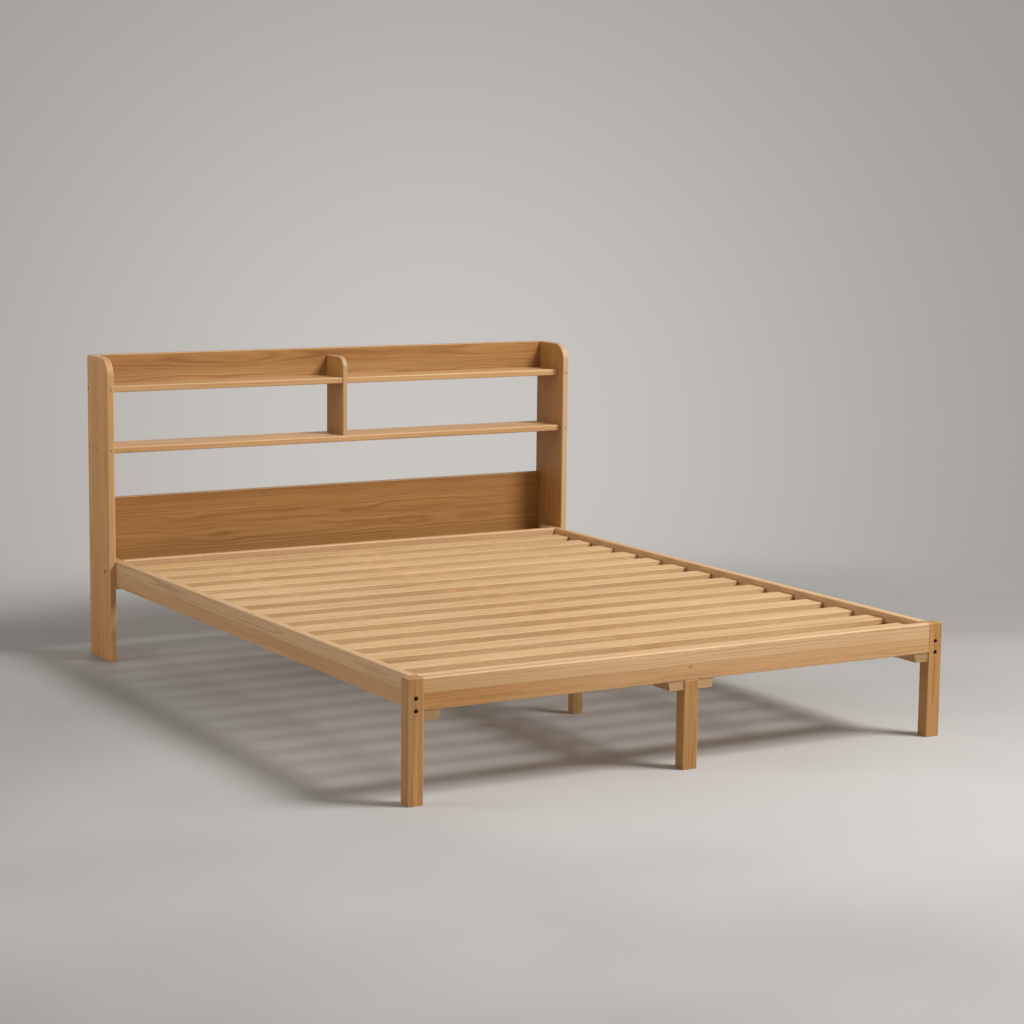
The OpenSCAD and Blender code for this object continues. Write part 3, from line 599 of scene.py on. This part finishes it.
def solids(node):
    """Lowest and highest corners of each separate solid of a CAD node."""
    bm = bmesh.new()
    bm.from_mesh(frame["nodes"][node].data)
    bmesh.ops.remove_doubles(bm, verts=bm.verts, dist=1e-6)
    seen, found = set(), []
    for first in bm.verts:
        if first in seen:
            continue
        seen.add(first)
        stack, group = [first], []
        while stack:
            vert = stack.pop()
            group.append(vert.co.copy())
            for edge in vert.link_edges:
                other = edge.other_vert(vert)
                if other not in seen:
                    seen.add(other)
                    stack.append(other)
        found.append((Vector([min(p[i] for p in group) for i in range(3)]),
                      Vector([max(p[i] for p in group) for i in range(3)])))
    bm.free()
    return found


# ---------- fasteners ----------

# Node: the axis it lies along, and which way it points: 1, -1, "in" or "out" from the middle
FASTENERS = {
    "leg_bolts": (1, 1), "panel_bolts": (0, "in"), "support_leg_bolts": (0, "in"),
    "panel_screw_plugs": (0, "in"), "edge_pins": (1, 1), "shelf_screws": (1, -1),
    "cam_locks": (1, -1), "block_screws": (2, 1), "ledger_screws": (0, "out"),
}

# Bolts: how deep the head lies, its height and eased rim, the shank's radius, and the hex socket
BOLT_SINK, BOLT_HEAD, BOLT_EASE, BOLT_SHANK = 3 * MM, 6 * MM, 0.8 * MM, 3 * MM
SOCKET_RADIUS, SOCKET_DEPTH = 2.55 * MM, 3 * MM
# Wood screws: the shank's radius, half the thread's pitch, and the cross recess
SCREW_SHANK, HALF_PITCH = 2.4 * MM, 1.2 * MM
SCREW_RECESS, CAM_RECESS = (5.2 * MM, 2.4 * MM), (8 * MM, 3 * MM)
# Room round a bolt's head and round the others, and how deep the holes in the wood look
HEAD_ROOM, SIDE_ROOM, HEAD_DEPTH, HOLE_DEPTH = 0.3 * MM, 0.18 * MM, 6.2 * MM, 6 * MM

def fastener_list(node):
    """Mouth, direction, length and radius of each fastener of a CAD node."""
    axis, way = FASTENERS[node]
    found = []
    for low, high in solids(node):
        lies, points = axis, way
        if node == "shelf_screws" and high.z - low.z > high.y - low.y:
            lies, points = 2, 1
        middle = (low + high) / 2
        if points == "in":
            sign = -1 if middle.x > 0 else 1
        elif points == "out":
            sign = 1 if middle.x > 0 else -1
        else:
            sign = points
        mouth = middle.copy()
        mouth[lies] = low[lies] if sign > 0 else high[lies]
        direction = Vector((0, 0, 0))
        direction[lies] = sign
        radius = max(high[i] - low[i] for i in OTHERS[lies]) / 2
        found.append((mouth, direction, high[lies] - low[lies], radius))
    return found


def all_pockets():
    """Mouth, direction, radius and depth of every hole that shows on the wood."""
    pockets = []
    for node in FASTENERS:
        for mouth, direction, length, radius in fastener_list(node):
            if node.endswith("bolts"):
                pockets.append((mouth - direction * BOLT_SINK, direction, radius + HEAD_ROOM,
                                BOLT_SINK + HEAD_DEPTH))
            else:
                pockets.append((mouth, direction, radius + SIDE_ROOM, min(length, HOLE_DEPTH)))
    return pockets


POCKETS = all_pockets()


def pocket_cutters(low, high):
    """Cutters of the pockets whose mouths lie on a box's faces."""
    lip = 0.5 * MM
    cutters = []
    for mouth, direction, radius, depth in POCKETS:
        inside = mouth + direction * MM
        if all(low[i] < inside[i] < high[i] for i in range(3)):
            profile = [(0, -MM), (radius + lip + MM, -MM), (radius, lip), (radius, depth),
                       (0, depth)]
            cutters.append(lathe(profile, mouth, direction))
    return cutters


def make_metal(node, parts, cutters):
    """One piece of several closed parts, with the cutters taken out of them."""
    obj = new_object(node + "_look", joined(parts))
    carve(obj, cutters)
    smooth(obj)
    dress(obj, SLOT[node], node)


def make_turned(node, profile, segments, drive, *drive_sizes):
    """The fasteners of a CAD node, each turned from its profile, with its drive cut in."""
    parts, drives = [], []
    for mouth, direction, length, radius in fastener_list(node):
        parts.append(lathe(profile(length, radius), mouth, direction, segments))
        drives.append(drive(mouth, direction, *drive_sizes))
    make_metal(node, parts, drives)


def bolt_profile(length, radius):
    """A cylinder head with an eased rim, and a plain shank with a chamfered end."""
    tip = 0.6 * MM
    return [(0, 0), (radius - BOLT_EASE, 0), (radius - BOLT_EASE * 0.3, BOLT_EASE * 0.3),
            (radius, BOLT_EASE), (radius, BOLT_HEAD), (BOLT_SHANK, BOLT_HEAD),
            (BOLT_SHANK, length - tip), (BOLT_SHANK - tip, length), (0, length)]


def screw_profile(length, radius):
    """A countersunk head, a neck, a thread and a point."""
    cone = radius - SCREW_SHANK
    profile = [(0, 0.1 * MM), (radius - 0.3 * MM, 0.1 * MM), (radius, 0.4 * MM),
               (SCREW_SHANK, cone + 0.4 * MM)]
    turn = cone + 6 * MM
    while turn < length - 5 * MM:
        profile += [(SCREW_SHANK - 0.5 * MM, turn), (SCREW_SHANK + 0.1 * MM, turn + HALF_PITCH)]
        turn += 2 * HALF_PITCH
    return profile + [(0, length)]


def cam_profile(length, radius):
    """A drum with a ring pressed into its face."""
    ease = 0.5 * MM
    return [(0, 0.2 * MM), (radius - 2.2 * MM, 0.2 * MM), (radius - 2 * MM, 0.7 * MM),
            (radius - 1.6 * MM, 0.7 * MM), (radius - 1.4 * MM, 0), (radius - ease, 0),
            (radius, ease), (radius, length), (0, length)]


def hex_socket(mouth, direction):
    """The socket in a bolt's head, as a cutter."""
    profile = [(0, -MM), (SOCKET_RADIUS, -MM), (SOCKET_RADIUS, SOCKET_DEPTH),
               (0, SOCKET_DEPTH + MM)]
    return lathe(profile, mouth, direction, 6)


def cross_recess(mouth, direction, size, depth):
    """The recess of a cross-head screw, as one solid cutter."""
    axis = max(range(3), key=lambda i: abs(direction[i]))
    a, b = OTHERS[axis]
    reach, half = size / 2, 0.55 * MM
    quarter = [(reach, -half), (reach, half), (half, half)]
    points = []
    for _ in range(4):
        points += [(mouth[a] + u, mouth[b] + v) for u, v in quarter]
        quarter = [(-v, u) for u, v in quarter]
    ends = sorted(mouth[axis] + direction[axis] * way for way in (-MM, depth))
    return prism(points, axis, ends[0], ends[1])


def make_plugs(node, order, rng):
    """Short wooden plugs, crowned a little and sunk by a hair."""
    parts = []
    for mouth, direction, length, radius in fastener_list(node):
        profile = [(0, 0.25 * MM), (radius * 0.6, 0.3 * MM), (radius - 0.5 * MM, 0.45 * MM),
                   (radius, 0.9 * MM), (radius, length), (0, length)]
        parts.append(lathe(profile, mouth, direction, 32))
    obj = new_object(node + "_look", joined(parts))
    smooth(obj)
    grain_data(obj, order, 0, rng)
    dress(obj, SLOT[node], node)


def make_nuts():
    """Hexagonal nuts whose bores open out at both ends."""
    bore, mouth, ease = 3.1 * MM, 4.2 * MM, 0.4 * MM
    parts, bores = [], []
    for low, high in solids("bolt_nuts"):
        axis = min(range(3), key=lambda i: high[i] - low[i])
        a, b = OTHERS[axis]
        middle = (low + high) / 2
        radius = max(high[a] - low[a], high[b] - low[b]) / 2
        first = 0 if high[a] - low[a] > high[b] - low[b] else 90
        angles = [math.radians(60 * k + first) for k in range(6)]
        corners = [(middle[a] + radius * math.cos(angle), middle[b] + radius * math.sin(angle))
                   for angle in angles]
        parts.append(prism(outline(corners, [0.6 * MM] * 6, 3), axis, low[axis], high[axis],
                           (0.5 * MM, 0.5 * MM)))
        direction = Vector((0, 0, 0))
        direction[axis] = 1
        start = middle.copy()
        start[axis] = low[axis]
        height = high[axis] - low[axis]
        profile = [(0, -MM), (mouth, -MM), (bore, ease), (bore, height - ease),
                   (mouth, height + MM), (0, height + MM)]
        bores.append(lathe(profile, start, direction))
    make_metal("bolt_nuts", parts, bores)


def make_plates():
    """Plates with rounded corners, and a hole for each bolt's shank and each screw's head."""
    parts = [prism(box_outline(low, high, 1, [4 * MM] * 4), 1, low.y, high.y, (0.4 * MM, 0.4 * MM))
             for low, high in solids("rail_end_plates")]
    holes = [(low, high, 3.1 * MM) for low, high in solids("leg_bolts")]
    holes += [(low, high, (high.x - low.x) / 2) for low, high in solids("plate_screws")]
    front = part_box("rail_end_plates")[0].y - MM
    bores = []
    for low, high, radius in holes:
        middle = (low + high) / 2
        profile = [(0, 0), (radius + 0.1 * MM, 0), (radius + 0.1 * MM, 5 * MM), (0, 5 * MM)]
        bores.append(lathe(profile, Vector((middle.x, front, middle.z)), (0, 1, 0)))
    make_metal("rail_end_plates", parts, bores)


# ---------- wood ----------

# Each piece's order is the axes along, across and through its grain
PANEL_CORNER, DIVIDER_CORNER = 57 * MM, 36 * MM
SHELF_ROUND, MIDDLE_ROUND = (4 * MM, 0, 0, 4 * MM), (4 * MM, 2 * MM, 2 * MM, 4 * MM)
BACK_ROUND, RAIL_ROUND = (2 * MM, 2 * MM, 3 * MM, 3 * MM), (2.5 * MM, 2.5 * MM, 5 * MM, 5 * MM)
# Clearance that the looks keep round a piece let into another
LET_IN = 0.2 * MM
# Half the width between the front legs
BETWEEN_LEGS = -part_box("front_leg_left")[1].x


def make_wood(node, points, axis, ease, order, rng, steps=3, extra=(), added=(), span=None,
              material=None):
    """One wooden piece: an outline extruded between its CAD node's ends, carved and eased."""
    low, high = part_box(node)
    start, end = span or (low[axis], high[axis])
    parts = [prism(points, axis, start, end, ease, steps)] + list(added)
    obj = new_object(node + "_look", joined(parts))
    carve(obj, pocket_cutters(low, high) + list(extra))
    grain_data(obj, order, axis, rng)
    smooth(obj)
    dress(obj, material or SLOT[node], node)


def make_board(node, axis, radii, ease, order, rng, **more):
    """A board with a rectangular section, its corners rounded by radii."""
    low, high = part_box(node)
    points = box_outline(low, high, axis, radii)
    make_wood(node, points, axis, (ease, ease), order, rng, **more)


def make_upright(node, corner, ease, rng, material=None):
    """A panel that stands upright, with its top front corner rounded."""
    low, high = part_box(node)
    points = box_outline(low, high, 0, (0, 0, 0, corner), 20)
    make_wood(node, points, 0, (ease, ease), (2, 1, 0), rng, steps=4, material=material)


def make_headboard(rng):
    """Side panels, shelves, divider and back boards."""
    for side, material in (("left", "lit_left_panel_wood"), ("right", "panel_wood")):
        make_upright("headboard_side_" + side, PANEL_CORNER, 3.5 * MM, rng, material)
        make_board("upper_shelf_" + side, 0, SHELF_ROUND, 0.5 * MM, (0, 1, 2), rng)
    make_upright("headboard_divider", DIVIDER_CORNER, 3 * MM, rng)
    make_board("middle_shelf", 0, MIDDLE_ROUND, 0.5 * MM, (0, 1, 2), rng)
    make_board("upper_back_board", 0, BACK_ROUND, 0.5 * MM, (0, 2, 1), rng,
               material="upper_back_wood")
    make_board("lower_back_board", 0, BACK_ROUND, 0.5 * MM, (0, 2, 1), rng)


def box_cutter(low, high, grow):
    """A box to cut out, grown by a clearance."""
    bm = bmesh.new()
    bmesh.ops.create_cube(bm, size=1.0)
    bmesh.ops.scale(bm, vec=[high[i] - low[i] + 2 * grow for i in range(3)], verts=bm.verts)
    bmesh.ops.translate(bm, vec=(Vector(low) + Vector(high)) / 2, verts=bm.verts)
    return bm


def tenon_box(sign):
    """Low and high corners of the foot rail's tenon on one side."""
    low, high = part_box("foot_rail")
    middle, half_thick, shoulder = (low.y + high.y) / 2, 5 * MM, 12 * MM
    ends = sorted((sign * BETWEEN_LEGS, sign * high.x))
    return (Vector((ends[0], middle - half_thick, low.z + shoulder)),
            Vector((ends[1], middle + half_thick, high.z - shoulder)))


def make_rails(rng):
    """Foot rail with its two tenons, head rail, and side rails with room for the end plates."""
    plates = solids("rail_end_plates")
    make_board("foot_rail", 0, RAIL_ROUND, 0.4 * MM, (0, 2, 1), rng, material="foot_rail_wood",
               span=(-BETWEEN_LEGS, BETWEEN_LEGS),
               added=[box_cutter(*tenon_box(sign), 0) for sign in (-1, 1)])
    make_board("head_rail", 0, RAIL_ROUND, 0.8 * MM, (0, 2, 1), rng)
    for side, sign in (("left", -1), ("right", 1)):
        recess = [box_cutter(low, high, LET_IN) for low, high in plates if low.x * sign > 0]
        make_board("side_rail_" + side, 1, RAIL_ROUND, 0.8 * MM, (1, 2, 0), rng, extra=recess)


def make_legs(rng):
    """Legs with eased feet, and a mortise for the foot rail in each front one."""
    for node in ("front_leg_left", "front_leg_right", "foot_center_leg",
                 "support_leg_left", "support_leg_right"):
        low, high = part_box(node)
        points = box_outline(low, high, 2, [2.5 * MM] * 4, 5)
        sign = 1 if high.x > 0 else -1
        mortise = [box_cutter(*tenon_box(sign), LET_IN)] if node.startswith("front_leg") else []
        make_wood(node, points, 2, (2.2 * MM, 1.2 * MM), (2, 0, 1), rng, extra=mortise)


def make_supports(rng):
    """Ledgers on the side rails, and the two beams along the middle."""
    for side in ("left", "right"):
        make_board("slat_ledger_" + side, 1, [1.5 * MM] * 4, MM, (1, 2, 0), rng)
        make_board("center_beam_" + side, 1, [2 * MM] * 4, MM, (1, 2, 0), rng)


def make_block(node, slopes, order, rng, extra=()):
    """A block whose low corners are cut in by the slopes, in front view."""
    low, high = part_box(node)
    corners = [(low.x + slopes[0], low.z), (high.x - slopes[1], low.z), (high.x, high.z),
               (low.x, high.z)]
    points = outline(corners, [1.6 * MM] * 4, 4)
    make_wood(node, points, 1, (1.4 * MM, 1.4 * MM), order, rng, extra=extra)


def make_blocks(rng):
    """The corner blocks, and the cleats under the beams' two ends."""
    make_block("corner_block_left", (0, 8 * MM), (1, 0, 2), rng)
    make_block("corner_block_right", (8 * MM, 0), (1, 0, 2), rng)
    make_block("head_cleat", (5 * MM, 5 * MM), (0, 1, 2), rng)
    leg_low, leg_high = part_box("foot_center_leg")
    low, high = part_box("foot_cleat")
    beyond = 10 * MM
    notch = box_cutter((leg_low.x, low.y - beyond, low.z - beyond),
                       (leg_high.x, leg_high.y, high.z + beyond), LET_IN)
    make_block("foot_cleat", (5 * MM, 5 * MM), (0, 1, 2), rng, [notch])


def make_slats(rng):
    """All slats, in the order of their numbers."""
    for node in sorted(BODY):
        if node.startswith("slat_") and node[5:].isdigit():
            make_board(node, 0, [2 * MM] * 4, 1.2 * MM, (0, 1, 2), rng)


# ---------- tapes ----------

TAPE_SAG = 3.2 * MM
SLATS_IN_ROLL = 7


def tape_outline(low, high, slats):
    """Side view of a tape: flat under each slat, and slack between them."""
    path = [(low.y, high.z)]
    for (_, here), (there, _) in zip(slats, slats[1:]):
        path.append((here.y - 2 * MM, high.z))
        for k in range(1, 10):
            t = k / 10
            sag = TAPE_SAG * 4 * t * (1 - t)
            path.append((here.y + (there.y - here.y) * t, high.z - sag))
        path.append((there.y + 2 * MM, high.z))
    path.append((high.y, high.z))
    thick = high.z - low.z
    return path + [(y, z - thick) for y, z in reversed(path)]


def staple_outline(y, z):
    """Side view of a staple under a tape: its crown, and two legs up into the slat."""
    half, inside, leg_top, round_corner = 6 * MM, 5.3 * MM, z + 3 * MM, 0.7 * MM
    crown, wire_top = z - 0.7 * MM, z - 0.05 * MM
    corners = [(y - half, leg_top), (y - half, crown), (y + half, crown), (y + half, leg_top),
               (y + inside, leg_top), (y + inside, wire_top), (y - inside, wire_top),
               (y - inside, leg_top)]
    return outline(corners, [0, round_corner, round_corner, 0, 0, 0, 0, 0], 3)


def make_tapes():
    """Tapes under the slats of each roll, with a staple at each crossing."""
    wire = 0.6 * MM
    for roll, first in (("foot", 1), ("head", 1 + SLATS_IN_ROLL)):
        node = roll + "_roll_tapes"
        slats = [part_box(f"slat_{k:02d}") for k in range(first, first + SLATS_IN_ROLL)]
        strips, staples, middles = [], [], []
        for low, high in solids(node):
            points = tape_outline(low, high, slats)
            strips.append(prism(points, 0, low.x, high.x, (0.3 * MM, 0.3 * MM), 2))
            middle = (low.x + high.x) / 2
            middles.append(middle)
            for slat_low, slat_high in slats:
                points = staple_outline((slat_low.y + slat_high.y) / 2, low.z)
                staples.append(prism(points, 0, middle - wire, middle + wire,
                                     (0.15 * MM, 0.15 * MM), 1))
        strip = new_object(node + "_look", joined(strips))
        grain_tape(strip, middles)
        smooth(strip)
        dress(strip, SLOT[node], node)
        clips = new_object(roll + "_roll_staples", joined(staples))
        smooth(clips)
        dress(clips, "zinc_steel", None, roll + "_slat_roll")


def grain_tape(obj, middles):
    """Coordinates along and across each tape."""
    values = []
    for v in obj.data.vertices:
        middle = min(middles, key=lambda x: abs(v.co.x - x))
        values += [v.co.y, v.co.x - middle, v.co.z]
    write_data(obj.data, "grain", "POINT", values, "FLOAT_VECTOR")


# ---------- floor, backdrop, light ----------

BACKDROP_EDGE, BACKDROP_CENTRE = linear(153, 149, 145), linear(201, 197, 193)
# The way to the pool of light on the backdrop, and the pool's width as an angle
BRIGHTEST, POOL_WIDTH = Vector((0.4745, 0.8735, -0.1110)).normalized(), 0.2

# The floor: its radius, its darkest and its palest tone, and where it runs out into the backdrop
FLOOR_RADIUS, FLOOR_CENTRE, FADE_START, FADE_END = 9.0, (-0.3, -1.1), 2.7, 4.2
FLOOR_DARK, FLOOR_LIGHT = linear(160, 158, 156), linear(199, 197, 195)
# The pool of light on it, wider across the room than along it, and where it dims ahead of the bed
POOL_CENTRE, POOL_SHAPE, POOL_START, POOL_END = (-0.2, -1.7), (1.0, 1.3, 1.0), 0.5, 3.2
AHEAD_START, AHEAD_END, DIMMEST = -3.6, -2.7, 0.9

WORLD_COLOR, WORLD_STRENGTH = (1.0, 0.96, 0.91, 1.0), 0.27
# Each lamp's place, target, size, power and colour, and whether shiny things mirror it
LAMPS = {
    "key": ((3.6, -4.1, 5.9), (0, 0.1, 0.3), 2.8, 560, (1.0, 0.99, 0.975), True),
    "fill": ((-4.2, 0.6, 2.2), (-0.85, 1.0, 0.5), 2.0, 36, (1.0, 0.95, 0.88), True),
    "rear": ((0.8, 4.8, 1.9), (0, 1.0, 0.6), 2.4, 60, (1.0, 0.98, 0.95), False),
}


def backdrop(n, direction):
    """The backdrop's colour in a direction: a soft pool of light behind the headboard."""
    toward = n.add("VectorMath", {0: direction, 1: BRIGHTEST}, operation="DOT_PRODUCT")
    away = n.math("SUBTRACT", 1.0, toward.outputs["Value"])
    pool = n.math("EXPONENT", n.math("MULTIPLY", away, -2.0 / POOL_WIDTH ** 2))
    around = n.smooth_step(away, 0.03, 0.12)
    return n.mix(n.math("MAXIMUM", pool, around), BACKDROP_EDGE, BACKDROP_CENTRE)


def seen(n):
    """1 for the rays that show the backdrop: from the camera, or mirrored in something shiny."""
    path = n.add("LightPath", {}).outputs
    either = n.math("MAXIMUM", path["Is Camera Ray"], path["Is Glossy Ray"])
    return n.math("MAXIMUM", either, path["Is Transmission Ray"])


def from_centre(n, place, centre):
    """The way from a centre on the floor to a place."""
    return n.add("VectorMath", {0: place, 1: (-centre[0], -centre[1], 0.0)}).outputs[0]


def make_floor():
    """A round cloudy floor that runs out into the backdrop."""
    bm = bmesh.new()
    bmesh.ops.create_circle(bm, cap_ends=True, segments=96, radius=FLOOR_RADIUS)
    mesh = bpy.data.meshes.new("floor")
    bm.to_mesh(mesh)
    bm.free()
    floor = new_object("floor", mesh)
    n = material_nodes("floor")
    place = n.add("TexCoord", {}).outputs["Object"]

    # Its own tone in clouds, darkened away from a painted pool of light
    cloud = n.noise(n.scaled(place, (0.9, 0.9, 0.9)), 1.0, 2.0)
    far = n.distance(n.scaled(from_centre(n, place, POOL_CENTRE), POOL_SHAPE))
    ahead = n.add("SeparateXYZ", {0: place}).outputs[1]
    dim = n.math("MULTIPLY", n.range(far, POOL_START, POOL_END, 0.0, DIMMEST),
                 n.range(ahead, AHEAD_START, AHEAD_END, 0.0, 1.0))
    shade = n.math("MULTIPLY_ADD", dim, -1.0, cloud)
    color = n.ramp(n.math("ADD", shade, 0.5), [(0.1, FLOOR_DARK), (1.0, FLOOR_LIGHT)])
    speckle = n.noise(n.scaled(place, (160.0, 160.0, 160.0)), 2.0, 2.0)
    bump = n.add("Bump", {"Height": speckle, "Strength": 0.1, "Distance": 0.5 * MM})
    lit = n.add("BsdfPrincipled", {"Base Color": color, "Roughness": 0.75,
                                   "Specular IOR Level": 0.2, "Normal": bump.outputs[0]})

    # Far out, the backdrop as it looks from the place where the camera is set
    ray = n.add("VectorMath", {0: place, 1: CAMERA_PLACE}, operation="SUBTRACT").outputs[0]
    ray = n.add("VectorMath", {0: ray}, operation="NORMALIZE").outputs[0]
    glow = n.add("Emission", {"Color": backdrop(n, ray), "Strength": 1.0})
    blend = n.smooth_step(n.distance(from_centre(n, place, FLOOR_CENTRE)), FADE_START, FADE_END)
    mixed = n.add("MixShader", {0: n.math("MULTIPLY", blend, seen(n)), 1: lit.outputs[0],
                                2: glow.outputs[0]})
    n.add("OutputMaterial", {"Surface": mixed.outputs[0]})
    mesh.materials.append(n.owner)


def area_light(name, place, target, size, power, color, mirrored):
    """A round soft lamp that points at its target and doesn't show itself."""
    data = bpy.data.lights.new(name, "AREA")
    data.shape = "DISK"
    data.size = size
    data.energy = power
    data.color = color
    lamp = bpy.data.objects.new(name, data)
    lamp.location = place
    lamp.visible_camera = False
    lamp.visible_glossy = mirrored
    lamp.rotation_mode = "QUATERNION"
    lamp.rotation_quaternion = (Vector(target) - Vector(place)).to_track_quat("-Z", "Y")
    bpy.context.scene.collection.objects.link(lamp)


def make_light():
    """The world, which lights softly and shows the backdrop, and the lamps."""
    world = bpy.data.worlds.new("world")
    bpy.context.scene.world = world
    n = Nodes(world)
    generated = n.add("TexCoord", {}).outputs["Generated"]
    shown = n.add("Background", {"Color": backdrop(n, generated)})
    light = n.add("Background", {"Color": WORLD_COLOR, "Strength": WORLD_STRENGTH})
    mixed = n.add("MixShader", {0: seen(n), 1: light.outputs[0], 2: shown.outputs[0]})
    n.add("OutputWorld", {"Surface": mixed.outputs[0]})
    for name, settings in LAMPS.items():
        area_light(name, *settings)


# ---------- the scene ----------

make_camera()
random_numbers = random.Random(11)
make_headboard(random_numbers)
make_rails(random_numbers)
make_legs(random_numbers)
make_supports(random_numbers)
make_blocks(random_numbers)
make_slats(random_numbers)
make_tapes()
for bolt_node in ("leg_bolts", "panel_bolts", "support_leg_bolts"):
    make_turned(bolt_node, bolt_profile, 48, hex_socket)
for screw_node in ("shelf_screws", "block_screws", "ledger_screws"):
    make_turned(screw_node, screw_profile, 28, cross_recess, *SCREW_RECESS)
make_turned("cam_locks", cam_profile, 48, cross_recess, *CAM_RECESS)
make_plugs("panel_screw_plugs", (1, 2, 0), random_numbers)
make_plugs("edge_pins", (0, 2, 1), random_numbers)
make_nuts()
make_plates()

# Pieces that keep their CAD shape
for kept in ("headboard_dowels", "rail_dowels", "panel_screws", "cam_bolts", "center_leg_stud",
             "plate_screws", "head_rail_screws"):
    for kept_slot in frame["nodes"][kept].material_slots:
        kept_slot.material = MATERIALS[SLOT[kept]]
make_floor()
make_light()
bpy.context.scene.view_settings.view_transform = "Standard"
